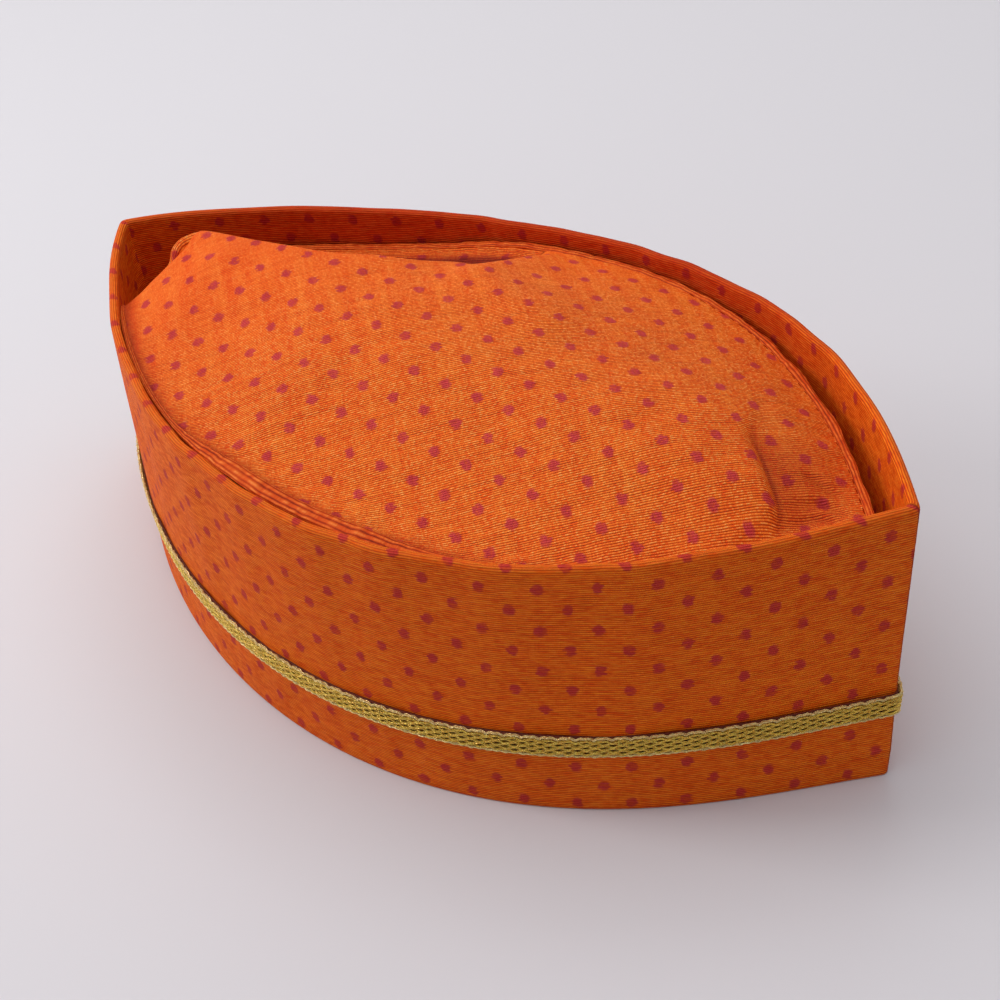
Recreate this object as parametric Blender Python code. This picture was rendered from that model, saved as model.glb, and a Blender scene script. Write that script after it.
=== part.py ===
"""A cloth cap with a stiff boat-shaped band, a puffed crown inside it and a gold braid round it.

Metres, +Z up. +X points at the crease of the right tip, -Y at the near wall. The cap stands on the foot of its
band at z = 0, and the origin is the bottom centre of its bounding box.
"""

import math
from typing import NamedTuple

import bmesh
import bpy
import numpy as np

# Band
BAND_HEIGHT = 0.0750
BAND_THICKNESS = 0.0024
FOOT_LEFT = (-0.1220, 0.0)
FOOT_RIGHT = (0.1220, 0.0)
RIM_LEFT = (-0.1192, -0.0010)
RIM_RIGHT = (0.1216, 0.0089)
RIM_ROUND_STEPS = 4

# Braid
BRAID_FOOT = 0.0186
BRAID_WIDTH = 0.0066
BRAID_THICKNESS = 0.0009
BRAID_BEVEL = 0.0003

# Crown
SIDE_THICKNESS = 0.0014
SIDE_FOOT = 0.0006
SIDE_FOOT_ROUNDING = 0.0020
WELT_WIDTH = 0.0024
WELT_HEIGHT = 0.0024
WELT_SINK = 0.0011
WELT_SIDES = 8
TOP_THICKNESS = 0.0012
TIP_ROUNDING = 0.0036

# Air between pieces that touch
FIT_GAP = 0.0003

# Fineness of the curves and of the meshes
LINE_STEPS = 400
LINE_OVERRUN = 0.03
HEADING_STEP = 0.002
LOOP_STEPS = 1440
BAND_STATIONS = 45
CROWN_STATIONS = 96
CROWN_SECTIONS_PER_ROW = 3
CROWN_STEPS_TO_CREST = 9
CROWN_STEPS_TO_EDGE = 3
CROWN_STEPS_DOWN = 3
CROWN_STEPS_BEHIND = 6
CROWN_RIM_STEPS = 3
SHARP_ANGLE = math.radians(40.0)
MERGE_DISTANCE = 0.000001


class WallRow(NamedTuple):
    """Plan direction of the band's four edges, in degrees from +X, at a share of the way along the wall."""

    along: float
    near_foot: float
    near_rim: float
    far_foot: float
    far_rim: float


WALL_ROWS = (
    WallRow(0.00, -59.2, -55.9, 58.0, 56.0),
    WallRow(0.25, -26.9, -30.2, 29.0, 30.8),
    WallRow(0.50, -0.6, -1.2, 8.0, 12.8),
    WallRow(0.75, 33.0, 35.1, -24.0, -19.0),
    WallRow(1.00, 47.3, 52.3, -43.0, -43.8),
)


class SeamRow(NamedTuple):
    """Height of the crown's seam, and its air gap to the band, on both walls."""

    along: float
    near_height: float
    far_height: float
    near_gap: float
    far_gap: float


SEAM_ROWS = (
    SeamRow(0.000, 0.0560, 0.0560, 0.0030, 0.0030),
    SeamRow(0.060, 0.0640, 0.0600, 0.0014, 0.0020),
    SeamRow(0.125, 0.0712, 0.0635, 0.0005, 0.0012),
    SeamRow(0.250, 0.0722, 0.0645, 0.0004, 0.0010),
    SeamRow(0.330, 0.0722, 0.0665, 0.0004, 0.0009),
    SeamRow(0.420, 0.0720, 0.0702, 0.0005, 0.0008),
    SeamRow(0.520, 0.0712, 0.0706, 0.0006, 0.0008),
    SeamRow(0.610, 0.0700, 0.0698, 0.0006, 0.0010),
    SeamRow(0.690, 0.0690, 0.0680, 0.0007, 0.0012),
    SeamRow(0.760, 0.0680, 0.0668, 0.0008, 0.0026),
    SeamRow(0.860, 0.0664, 0.0660, 0.0010, 0.0038),
    SeamRow(0.940, 0.0655, 0.0655, 0.0014, 0.0042),
    SeamRow(1.000, 0.0645, 0.0645, 0.0020, 0.0030),
)


class CrownRow(NamedTuple):
    """One section of the crown's top, from its near edge to its far edge.

    near and far say where the section meets the seam, as shares of the way along. The slope and the crest lie at
    fixed shares of the way across, and the back edge and the foot of the drop behind it have their own. Each rise
    is a height above the straight line between the section's two ends.
    """

    near: float
    far: float
    slope: float
    crest: float
    edge_at: float
    edge: float
    foot_at: float
    foot: float


SLOPE_AT = 0.25
CREST_AT = 0.50
CROWN_ROWS = (
    CrownRow(0.000, 0.000, 0.0000, 0.0000, 0.60, 0.0000, 0.68, 0.0000),
    CrownRow(0.070, 0.050, -0.0060, -0.0080, 0.60, -0.0080, 0.68, -0.0080),
    CrownRow(0.118, 0.096, -0.0100, -0.0130, 0.62, -0.0125, 0.69, -0.0120),
    CrownRow(0.129, 0.105, -0.0030, -0.0020, 0.63, 0.0000, 0.70, -0.0090),
    CrownRow(0.134, 0.109, 0.0040, 0.0084, 0.64, 0.0120, 0.70, -0.0066),
    CrownRow(0.140, 0.116, 0.0052, 0.0100, 0.64, 0.0133, 0.70, -0.0062),
    CrownRow(0.215, 0.215, 0.0071, 0.0143, 0.60, 0.0150, 0.66, -0.0069),
    CrownRow(0.280, 0.280, 0.0069, 0.0145, 0.61, 0.0157, 0.66, -0.0070),
    CrownRow(0.340, 0.340, 0.0070, 0.0142, 0.65, 0.0152, 0.69, -0.0078),
    CrownRow(0.385, 0.385, 0.0081, 0.0133, 0.70, 0.0124, 0.74, -0.0076),
    CrownRow(0.412, 0.420, 0.0088, 0.0132, 0.76, 0.0092, 0.79, -0.0063),
    CrownRow(0.430, 0.450, 0.0091, 0.0131, 0.72, 0.0115, 0.86, 0.0065),
    CrownRow(0.510, 0.510, 0.0072, 0.0124, 0.65, 0.0125, 0.82, 0.0062),
    CrownRow(0.615, 0.615, 0.0062, 0.0114, 0.65, 0.0098, 0.82, 0.0054),
    CrownRow(0.720, 0.720, 0.0055, 0.0108, 0.65, 0.0099, 0.82, 0.0060),
    CrownRow(0.810, 0.810, 0.0041, 0.0079, 0.65, 0.0074, 0.82, 0.0048),
    CrownRow(0.870, 0.870, 0.0025, 0.0047, 0.65, 0.0045, 0.82, 0.0029),
    CrownRow(0.910, 0.910, 0.0005, 0.0011, 0.65, 0.0014, 0.82, 0.0011),
    CrownRow(1.000, 1.000, 0.0000, 0.0000, 0.65, 0.0000, 0.82, 0.0000),
)


def column(rows, name):
    """One named column of a table, as an array."""
    return np.array([getattr(row, name) for row in rows])


def smooth_through(knots, values, where):
    """Values read off a smooth curve through the knots that never overshoots them."""
    knots = np.asarray(knots, float)
    values = np.asarray(values, float)
    widths = np.diff(knots)
    slopes = np.diff(values) / widths
    bends = np.zeros(len(knots))
    bends[0] = slopes[0]
    bends[-1] = slopes[-1]
    for i in range(1, len(knots) - 1):
        before, after = slopes[i - 1], slopes[i]
        if before * after > 0.0:
            bends[i] = 2.0 * before * after / (before + after)
    i = np.clip(np.searchsorted(knots, where, side="right") - 1, 0, len(knots) - 2)
    t = (where - knots[i]) / widths[i]
    rise = (1 + 2 * t) * (1 - t) ** 2 * values[i] + t * t * (3 - 2 * t) * values[i + 1]
    bow = t * (1 - t) ** 2 * bends[i] - t * t * (1 - t) * bends[i + 1]
    return rise + widths[i] * bow


def read_line(where, steps, line):
    """Plan points of a line at given shares of the way along it."""
    return np.interp(where, steps, line.real) + 1j * np.interp(where, steps, line.imag)


def wall_edge(name, left, right):
    """Plan line of one edge of a wall: shares along it, and points joining its two creases."""
    knots = column(WALL_ROWS, "along")
    turn = np.polynomial.Polynomial.fit(knots, np.radians(column(WALL_ROWS, name)), len(knots) - 1)
    along = np.linspace(-LINE_OVERRUN, 1.0 + LINE_OVERRUN, LINE_STEPS + 1)
    steps = np.exp(1j * turn((along[1:] + along[:-1]) / 2)) * np.diff(along)
    line = np.concatenate([[0], np.cumsum(steps)])
    start, end = read_line(np.array([0.0, 1.0]), along, line)
    line = complex(*left) + (line - start) / (end - start) * (complex(*right) - complex(*left))
    return along, line


WALL_EDGES = {
    "near_foot": wall_edge("near_foot", FOOT_LEFT, FOOT_RIGHT),
    "near_rim": wall_edge("near_rim", RIM_LEFT, RIM_RIGHT),
    "far_foot": wall_edge("far_foot", FOOT_LEFT, FOOT_RIGHT),
    "far_rim": wall_edge("far_rim", RIM_LEFT, RIM_RIGHT),
}


def wall_length():
    """Length of the near wall along its foot, from crease to crease."""
    along, line = WALL_EDGES["near_foot"]
    return np.abs(np.diff(line)).sum() / (along[-1] - along[0])


def wall_points(side, along, height, inset):
    """Points of the near or far wall at a height, moved into the cap by the inset, and the wall's headings."""
    share = height / BAND_HEIGHT

    def at(where):
        low = read_line(where, *WALL_EDGES[side + "_foot"])
        high = read_line(where, *WALL_EDGES[side + "_rim"])
        return low + (high - low) * share

    heading = at(along + HEADING_STEP) - at(along - HEADING_STEP)
    heading /= abs(heading)
    inward = heading * (1j if side == "near" else -1j)
    return at(along) + inward * inset, heading


def corner_trims(height, inset):
    """Shares of the walls cut off at the left and right crease where both walls, moved in by the inset, meet."""
    ends = np.array([0.0, 1.0])
    near_heading = wall_points("near", ends, height, 0.0)[1]
    far_heading = wall_points("far", ends, height, 0.0)[1]
    half_corner = abs(np.angle(far_heading / near_heading)) / 2
    return inset / np.tan(half_corner) / wall_length()


def band_loop(height, inset):
    """Closed plan loop round the band from its left crease: mitred corners inside it, blunt ones outside."""
    left, right = corner_trims(height, max(inset, 0.0))
    along = np.linspace(left, 1.0 - right, BAND_STATIONS)
    near = wall_points("near", along, height, inset)[0]
    far = wall_points("far", along, height, inset)[0]
    near[0] = far[0] = (near[0] + far[0]) / 2
    near[-1] = far[-1] = (near[-1] + far[-1]) / 2
    loop = np.concatenate([near, far[-2:0:-1]])
    return np.stack([loop.real, loop.imag, np.full(len(loop), height)], axis=1)


def rounded_loop(points, rounding, stations):
    """A closed loop resampled evenly, with its corners rounded off."""
    closed = np.vstack([points, points[:1]])
    reach = np.concatenate([[0], np.cumsum(np.linalg.norm(np.diff(closed[:, :2], axis=0), axis=1))])
    even = np.arange(LOOP_STEPS) / LOOP_STEPS * reach[-1]
    fine = np.stack([np.interp(even, reach, closed[:, k]) for k in range(3)], axis=1)
    away = np.minimum(even, reach[-1] - even)
    weight = np.exp(-((away / rounding) ** 2) / 2)
    weight /= weight.sum()
    soft = np.fft.ifft(np.fft.fft(fine, axis=0) * np.fft.fft(weight)[:, None], axis=0).real
    return soft[:: LOOP_STEPS // stations]


def inset_loop(loop, inset, lift=0.0):
    """A smooth closed loop moved inwards in plan, and up."""
    heading = np.roll(loop, -1, axis=0)[:, :2] - np.roll(loop, 1, axis=0)[:, :2]
    heading /= np.linalg.norm(heading, axis=1)[:, None]
    moved = loop.copy()
    moved[:, 0] -= heading[:, 1] * inset
    moved[:, 1] += heading[:, 0] * inset
    moved[:, 2] += lift
    return moved


def seam_loop():
    """The crown's seam: a closed loop just inside the band, with rounded ends."""
    knots = column(SEAM_ROWS, "along")
    lines = []
    for side in ("near", "far"):
        gaps = column(SEAM_ROWS, side + "_gap")
        left = corner_trims(BAND_HEIGHT, BAND_THICKNESS + gaps[0])[0]
        right = corner_trims(BAND_HEIGHT, BAND_THICKNESS + gaps[-1])[1]
        along = np.linspace(left, 1.0 - right, 4 * BAND_STATIONS)
        height = smooth_through(knots, column(SEAM_ROWS, side + "_height"), along)
        line = wall_points(side, along, height, BAND_THICKNESS + smooth_through(knots, gaps, along))[0]
        lines.append(np.stack([line.real, line.imag, height], axis=1))
    return rounded_loop(np.vstack([lines[0], lines[1][::-1]]), TIP_ROUNDING, CROWN_STATIONS)


def side_foot_loop():
    """The crown's side where it meets the foot of the band."""
    loop = band_loop(SIDE_FOOT, BAND_THICKNESS + FIT_GAP)
    return rounded_loop(loop, SIDE_FOOT_ROUNDING, CROWN_STATIONS)


def crown_surface(seam):
    """Grid of points over the crown's top, sections by steps across, from the seam's inner edge."""
    half = len(seam) // 2
    share = np.linspace(0.0, 1.0, half + 1)
    near_edge = seam[: half + 1]
    far_edge = np.vstack([seam[:1], seam[: half - 1 : -1]])
    rows = np.arange(len(CROWN_ROWS))
    where = np.linspace(0, rows[-1], rows[-1] * CROWN_SECTIONS_PER_ROW + 1)
    table = {name: smooth_through(rows, column(CROWN_ROWS, name), where) for name in CrownRow._fields}
    grid = []
    for k in range(len(where)):
        start = np.array([np.interp(table["near"][k], share, near_edge[:, axis]) for axis in range(3)])
        end = np.array([np.interp(table["far"][k], share, far_edge[:, axis]) for axis in range(3)])
        edge_at, foot_at = table["edge_at"][k], table["foot_at"][k]
        across = np.concatenate([
            np.linspace(0.0, CREST_AT, CROWN_STEPS_TO_CREST, endpoint=False),
            np.linspace(CREST_AT, edge_at, CROWN_STEPS_TO_EDGE, endpoint=False),
            np.linspace(edge_at, foot_at, CROWN_STEPS_DOWN, endpoint=False),
            np.linspace(foot_at, 1.0, CROWN_STEPS_BEHIND + 1),
        ])
        knots = (0.0, SLOPE_AT, CREST_AT, edge_at, foot_at, 1.0)
        rises = (0.0, table["slope"][k], table["crest"][k], table["edge"][k], table["foot"][k], 0.0)
        line = start[None, :] + across[:, None] * (end - start)[None, :]
        line[:, 2] += smooth_through(knots, rises, across)
        grid.append(line)
    return np.array(grid)


def underside(grid):
    """The grid moved in by the crown's thickness: along its normals inside, straight down at its rim."""
    along = np.gradient(grid, axis=0)
    across = np.gradient(grid, axis=1)
    normals = np.cross(along, across)
    normals[:, :, 2] += MERGE_DISTANCE**2
    normals /= np.linalg.norm(normals, axis=2)[:, :, None]
    steps = [np.minimum(np.arange(count), np.arange(count)[::-1]) for count in grid.shape[:2]]
    inner = np.minimum.outer(steps[0], steps[1]) / CROWN_RIM_STEPS
    normals[:, :, :2] *= np.minimum(inner, 1.0)[:, :, None]
    normals /= np.linalg.norm(normals, axis=2)[:, :, None]
    return grid - normals * TOP_THICKNESS


def principled(name, colour, roughness, metallic=0.0):
    """A Principled material in one colour."""
    material = bpy.data.materials.new(name)
    material.use_nodes = True
    shader = material.node_tree.nodes["Principled BSDF"]
    shader.inputs["Base Color"].default_value = (*colour, 1.0)
    shader.inputs["Roughness"].default_value = roughness
    shader.inputs["Metallic"].default_value = metallic
    material.diffuse_color = (*colour, 1.0)
    return material


def band_cloth():
    """Orange cloth of the band."""
    return principled("band_cloth", (0.62, 0.13, 0.015), 0.75)


def side_cloth():
    """Orange cloth of the crown's side."""
    return principled("side_cloth", (0.55, 0.11, 0.012), 0.80)


def welt_cloth():
    """Orange cloth turned in along the seam."""
    return principled("welt_cloth", (0.60, 0.12, 0.014), 0.75)


def crown_cloth():
    """Orange cloth of the crown's top."""
    return principled("crown_cloth", (0.72, 0.15, 0.016), 0.70)


def gold_thread():
    """Gold thread of the braid."""
    return principled("gold_thread", (0.60, 0.40, 0.12), 0.35, metallic=1.0)


def add_object(name, body, material):
    """A named object from a bmesh, smooth shaded, with its faces turned outwards."""
    bmesh.ops.recalc_face_normals(body, faces=body.faces)
    mesh = bpy.data.meshes.new(name)
    body.to_mesh(mesh)
    body.free()
    mesh.shade_smooth()
    mesh.set_sharp_from_angle(angle=SHARP_ANGLE)
    mesh.materials.append(material)
    item = bpy.data.objects.new(name, mesh)
    bpy.context.scene.collection.objects.link(item)
    return item


def ring_body(loops):
    """A closed tube-like body whose section is a ring of closed loops."""
    body = bmesh.new()
    rings = [[body.verts.new(point) for point in loop] for loop in loops]
    for ring, following in zip(rings, rings[1:] + rings[:1]):
        for i in range(len(ring)):
            j = (i + 1) % len(ring)
            body.faces.new((ring[i], ring[j], following[j], following[i]))
    return body


def outer_band():
    """The doubled cloth band, flat at its foot and folded over at its rim."""
    radius = BAND_THICKNESS / 2
    section = [(0.0, 0.0)]
    for step in range(RIM_ROUND_STEPS + 1):
        angle = math.pi * (1 - step / RIM_ROUND_STEPS)
        section.append((radius + radius * math.cos(angle), BAND_HEIGHT - radius + radius * math.sin(angle)))
    section.append((BAND_THICKNESS, 0.0))
    loops = [band_loop(height, inset) for inset, height in section]
    return add_object("outer_band", ring_body(loops), band_cloth())


def gold_braid():
    """The flat braid round the band."""
    back = -FIT_GAP
    front = back - BRAID_THICKNESS
    shoulder = front + BRAID_BEVEL
    top = BRAID_FOOT + BRAID_WIDTH
    section = (
        (back, BRAID_FOOT),
        (shoulder, BRAID_FOOT),
        (front, BRAID_FOOT + BRAID_BEVEL),
        (front, top - BRAID_BEVEL),
        (shoulder, top),
        (back, top),
    )
    loops = [band_loop(height, inset) for inset, height in section]
    return add_object("gold_braid", ring_body(loops), gold_thread())


def crown_side(seam):
    """The crown's upright wall, from the foot of the band up to the seam."""
    top = -WELT_SINK - FIT_GAP
    foot = side_foot_loop()
    loops = (
        foot,
        inset_loop(seam, FIT_GAP, top),
        inset_loop(seam, FIT_GAP + SIDE_THICKNESS, top),
        inset_loop(foot, SIDE_THICKNESS),
    )
    return add_object("crown_side", ring_body(loops), side_cloth())


def seam_welt(seam):
    """The raised ridge of turned-in cloth along the crown's seam."""
    reach = 1.0 / math.cos(math.pi / WELT_SIDES)
    loops = []
    for step in range(WELT_SIDES):
        angle = 2 * math.pi * (step + 0.5) / WELT_SIDES
        inset = WELT_WIDTH / 2 * (1 + reach * math.cos(angle))
        lift = WELT_HEIGHT / 2 * (1 + reach * math.sin(angle)) - WELT_SINK
        loops.append(inset_loop(seam, inset, lift))
    return add_object("seam_welt", ring_body(loops), welt_cloth())


def crown_top(seam):
    """The puffed top panel, a thin shell from seam to seam."""
    upper = crown_surface(inset_loop(seam, WELT_WIDTH + FIT_GAP))
    body = bmesh.new()
    sheets = []
    for points in (upper, underside(upper)):
        sheets.append([[body.verts.new(point) for point in line] for line in points])
    for sheet in sheets:
        for line, following in zip(sheet, sheet[1:]):
            for j in range(len(line) - 1):
                body.faces.new((line[j], line[j + 1], following[j + 1], following[j]))
    top, under = sheets
    for edge in (0, -1):
        for i in range(len(top) - 1):
            body.faces.new((top[i][edge], top[i + 1][edge], under[i + 1][edge], under[i][edge]))
    bmesh.ops.remove_doubles(body, verts=body.verts, dist=MERGE_DISTANCE)
    return add_object("crown_top", body, crown_cloth())


def centre_on_footprint(items):
    """Move every mesh so that the bounding box is centred on the origin in plan."""
    points = np.array([vertex.co for item in items for vertex in item.data.vertices])
    low, high = points.min(axis=0), points.max(axis=0)
    for item in items:
        for vertex in item.data.vertices:
            vertex.co.x -= (low[0] + high[0]) / 2
            vertex.co.y -= (low[1] + high[1]) / 2


def main():
    """Clear the scene and build the cap."""
    for item in list(bpy.data.objects):
        bpy.data.objects.remove(item)
    seam = seam_loop()
    items = [outer_band(), crown_side(seam), seam_welt(seam), crown_top(seam), gold_braid()]
    centre_on_footprint(items)


main()
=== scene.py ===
"""Looks of a boat-shaped cloth cap: dotted orange silk, a puffed crown and a gold braid.

Metres, +Z up. +X points at the crease of the right tip, -Y at the near wall.
Lengths on the cloth and round the seam are millimetres.
"""

import logging
import math
from dataclasses import dataclass, replace
from enum import Enum
from typing import NamedTuple, Sequence

import bmesh
import bpy
import numpy as np
from mathutils import Matrix, Vector


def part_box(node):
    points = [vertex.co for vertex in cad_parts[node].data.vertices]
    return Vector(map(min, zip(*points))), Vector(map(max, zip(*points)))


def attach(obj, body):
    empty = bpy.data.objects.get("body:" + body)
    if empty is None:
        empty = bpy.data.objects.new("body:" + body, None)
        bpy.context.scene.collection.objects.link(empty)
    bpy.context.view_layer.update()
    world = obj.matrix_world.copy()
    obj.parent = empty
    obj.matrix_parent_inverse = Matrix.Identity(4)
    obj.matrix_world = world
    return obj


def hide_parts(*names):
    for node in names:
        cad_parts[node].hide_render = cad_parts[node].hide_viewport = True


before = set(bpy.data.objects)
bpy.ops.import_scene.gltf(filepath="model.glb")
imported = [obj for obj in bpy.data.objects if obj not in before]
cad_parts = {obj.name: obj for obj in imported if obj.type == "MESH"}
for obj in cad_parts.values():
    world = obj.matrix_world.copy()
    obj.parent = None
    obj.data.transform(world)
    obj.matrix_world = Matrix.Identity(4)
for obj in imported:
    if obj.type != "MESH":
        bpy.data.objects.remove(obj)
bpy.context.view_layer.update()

LOG = logging.getLogger("cap")
MM = 0.001
MERGE_DISTANCE = 0.000001
Knots = tuple[tuple[float, float], ...]
Socket = bpy.types.NodeSocket


class Side(Enum):
    """The two walls of the cap."""

    NEAR = "near"
    FAR = "far"


class WallRow(NamedTuple):
    """Plan direction of the band's four edges, in degrees from +X, at a share of the way along the wall."""

    along: float
    near_foot: float
    near_rim: float
    far_foot: float
    far_rim: float


class SeamRow(NamedTuple):
    """Height of the crown's seam, and its air gap to the band, on both walls."""

    along: float
    near_height: float
    far_height: float
    near_gap: float
    far_gap: float


class CrownRow(NamedTuple):
    """One section of the crown's top: where it meets the seam, and how it rises above the line between."""

    near: float
    far: float
    slope: float
    crest: float
    edge_at: float
    edge: float
    foot_at: float
    foot: float


WALL_ROWS = (
    WallRow(0.00, -59.2, -55.9, 58.0, 56.0),
    WallRow(0.25, -26.9, -30.2, 29.0, 30.8),
    WallRow(0.50, -0.6, -1.2, 8.0, 12.8),
    WallRow(0.75, 33.0, 35.1, -24.0, -19.0),
    WallRow(1.00, 47.3, 52.3, -43.0, -43.8),
)
SEAM_ROWS = (
    SeamRow(0.000, 0.0430, 0.0430, 0.0030, 0.0030),
    SeamRow(0.060, 0.0480, 0.0470, 0.0014, 0.0020),
    SeamRow(0.100, 0.0590, 0.0560, 0.0007, 0.0014),
    SeamRow(0.125, 0.0712, 0.0632, 0.0005, 0.0012),
    SeamRow(0.250, 0.0722, 0.0645, 0.0004, 0.0010),
    SeamRow(0.330, 0.0722, 0.0665, 0.0004, 0.0009),
    SeamRow(0.420, 0.0720, 0.0702, 0.0005, 0.0008),
    SeamRow(0.520, 0.0712, 0.0706, 0.0006, 0.0008),
    SeamRow(0.610, 0.0700, 0.0698, 0.0006, 0.0010),
    SeamRow(0.690, 0.0690, 0.0680, 0.0007, 0.0012),
    SeamRow(0.760, 0.0680, 0.0668, 0.0008, 0.0026),
    SeamRow(0.860, 0.0664, 0.0660, 0.0010, 0.0038),
    SeamRow(0.940, 0.0655, 0.0655, 0.0014, 0.0042),
    SeamRow(1.000, 0.0645, 0.0645, 0.0020, 0.0030),
)
CROWN_ROWS = (
    CrownRow(0.000, 0.000, 0.0000, 0.0000, 0.60, 0.0000, 0.68, 0.0000),
    CrownRow(0.070, 0.050, -0.0060, -0.0080, 0.60, -0.0080, 0.68, -0.0080),
    CrownRow(0.118, 0.096, -0.0100, -0.0130, 0.62, -0.0125, 0.69, -0.0120),
    CrownRow(0.129, 0.105, -0.0030, -0.0020, 0.63, 0.0000, 0.70, -0.0090),
    CrownRow(0.134, 0.109, 0.0040, 0.0084, 0.64, 0.0120, 0.70, -0.0066),
    CrownRow(0.140, 0.116, 0.0052, 0.0100, 0.64, 0.0133, 0.70, -0.0062),
    CrownRow(0.160, 0.142, 0.0057, 0.0113, 0.63, 0.0138, 0.69, -0.0064),
    CrownRow(0.215, 0.215, 0.0071, 0.0143, 0.60, 0.0150, 0.66, -0.0069),
    CrownRow(0.280, 0.280, 0.0069, 0.0145, 0.61, 0.0157, 0.66, -0.0070),
    CrownRow(0.340, 0.340, 0.0070, 0.0142, 0.65, 0.0152, 0.69, -0.0078),
    CrownRow(0.385, 0.385, 0.0081, 0.0133, 0.70, 0.0124, 0.74, -0.0076),
    CrownRow(0.412, 0.420, 0.0088, 0.0132, 0.76, 0.0092, 0.79, -0.0063),
    CrownRow(0.430, 0.450, 0.0091, 0.0131, 0.72, 0.0115, 0.86, 0.0065),
    CrownRow(0.510, 0.510, 0.0072, 0.0124, 0.65, 0.0125, 0.82, 0.0062),
    CrownRow(0.615, 0.615, 0.0062, 0.0114, 0.65, 0.0098, 0.82, 0.0054),
    CrownRow(0.720, 0.720, 0.0055, 0.0108, 0.65, 0.0099, 0.82, 0.0060),
    CrownRow(0.810, 0.810, 0.0041, 0.0079, 0.65, 0.0074, 0.82, 0.0048),
    CrownRow(0.870, 0.870, 0.0025, 0.0047, 0.65, 0.0045, 0.82, 0.0029),
    CrownRow(0.910, 0.910, 0.0005, 0.0011, 0.65, 0.0014, 0.82, 0.0011),
    CrownRow(1.000, 1.000, 0.0000, 0.0000, 0.65, 0.0000, 0.82, 0.0000),
)


def column(rows: Sequence[NamedTuple], name: str) -> np.ndarray:
    """One named column of a table.

    Args:
        rows: The table.
        name: The column's name.

    Returns:
        The column's values.
    """
    return np.array([getattr(row, name) for row in rows])


def smooth_through(knots: Sequence[float], values: Sequence[float], where: np.ndarray) -> np.ndarray:
    """Values read off a smooth curve through the knots that never overshoots them.

    Args:
        knots: Rising places of the knots.
        values: The curve's values at the knots.
        where: Places to read.

    Returns:
        The values there.
    """
    knots = np.asarray(knots, float)
    values = np.asarray(values, float)
    widths = np.diff(knots)
    slopes = np.diff(values) / widths
    bends = np.zeros(len(knots))
    bends[0], bends[-1] = slopes[0], slopes[-1]
    before, after = slopes[:-1], slopes[1:]
    rising = before * after > 0.0
    bends[1:-1][rising] = 2.0 * before[rising] * after[rising] / (before[rising] + after[rising])
    i = np.clip(np.searchsorted(knots, where, side="right") - 1, 0, len(knots) - 2)
    t = (where - knots[i]) / widths[i]
    rise = (1 + 2 * t) * (1 - t) ** 2 * values[i] + t * t * (3 - 2 * t) * values[i + 1]
    bow = t * (1 - t) ** 2 * bends[i] - t * t * (1 - t) * bends[i + 1]
    return rise + widths[i] * bow


def smooth_step(low: float, high: float, value: np.ndarray) -> np.ndarray:
    """A soft step from 0 at low to 1 at high."""
    t = np.clip((value - low) / (high - low), 0.0, 1.0)
    return t * t * (3 - 2 * t)


def knot_curve(knots: Knots, where: np.ndarray) -> np.ndarray:
    """Values read off a smooth curve through pairs of a place and a value."""
    return smooth_through(*zip(*knots), where)


def even_shares(count: int) -> np.ndarray:
    """Even places round a seam: 0 at the left tip, 1 at the right tip, up to 2 back along the far wall."""
    return np.arange(count) / (count / 2)


def read_line(where: np.ndarray, steps: np.ndarray, line: np.ndarray) -> np.ndarray:
    """Plan points of a line at given shares of the way along it."""
    return np.interp(where, steps, line.real) + 1j * np.interp(where, steps, line.imag)


@dataclass(eq=False)
class Waves:
    """Small smooth waves over a surface, made of many plain waves in every direction."""

    seed: int
    shortest: float
    longest: float
    count: int = 28
    grain: float = 1.0

    def __post_init__(self) -> None:
        """Draw the waves' lengths, directions and starts."""
        draw = np.random.default_rng(self.seed)
        length = np.exp(draw.uniform(math.log(self.shortest), math.log(self.longest), self.count))
        angle = draw.uniform(0.0, math.tau, self.count)
        self.across = math.tau / length * np.cos(angle)
        self.along = math.tau / length * np.sin(angle) * self.grain
        self.start = draw.uniform(0.0, math.tau, self.count)
        self.size = (length / self.longest) ** 0.5
        self.size /= math.sqrt((self.size**2).sum() / 2.0)

    def at(self, u: np.ndarray, v: np.ndarray) -> np.ndarray:
        """Height of the waves at surface places.

        Args:
            u: First coordinate, in the same unit as the wave lengths.
            v: Second coordinate.

        Returns:
            Heights that mostly lie between -2 and 2.
        """
        u, v = np.broadcast_arrays(np.asarray(u, float), np.asarray(v, float))
        total = np.zeros(u.shape)
        for size, across, along, start in zip(self.size, self.across, self.along, self.start):
            total += size * np.sin(across * u + along * v + start)
        return total


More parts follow.
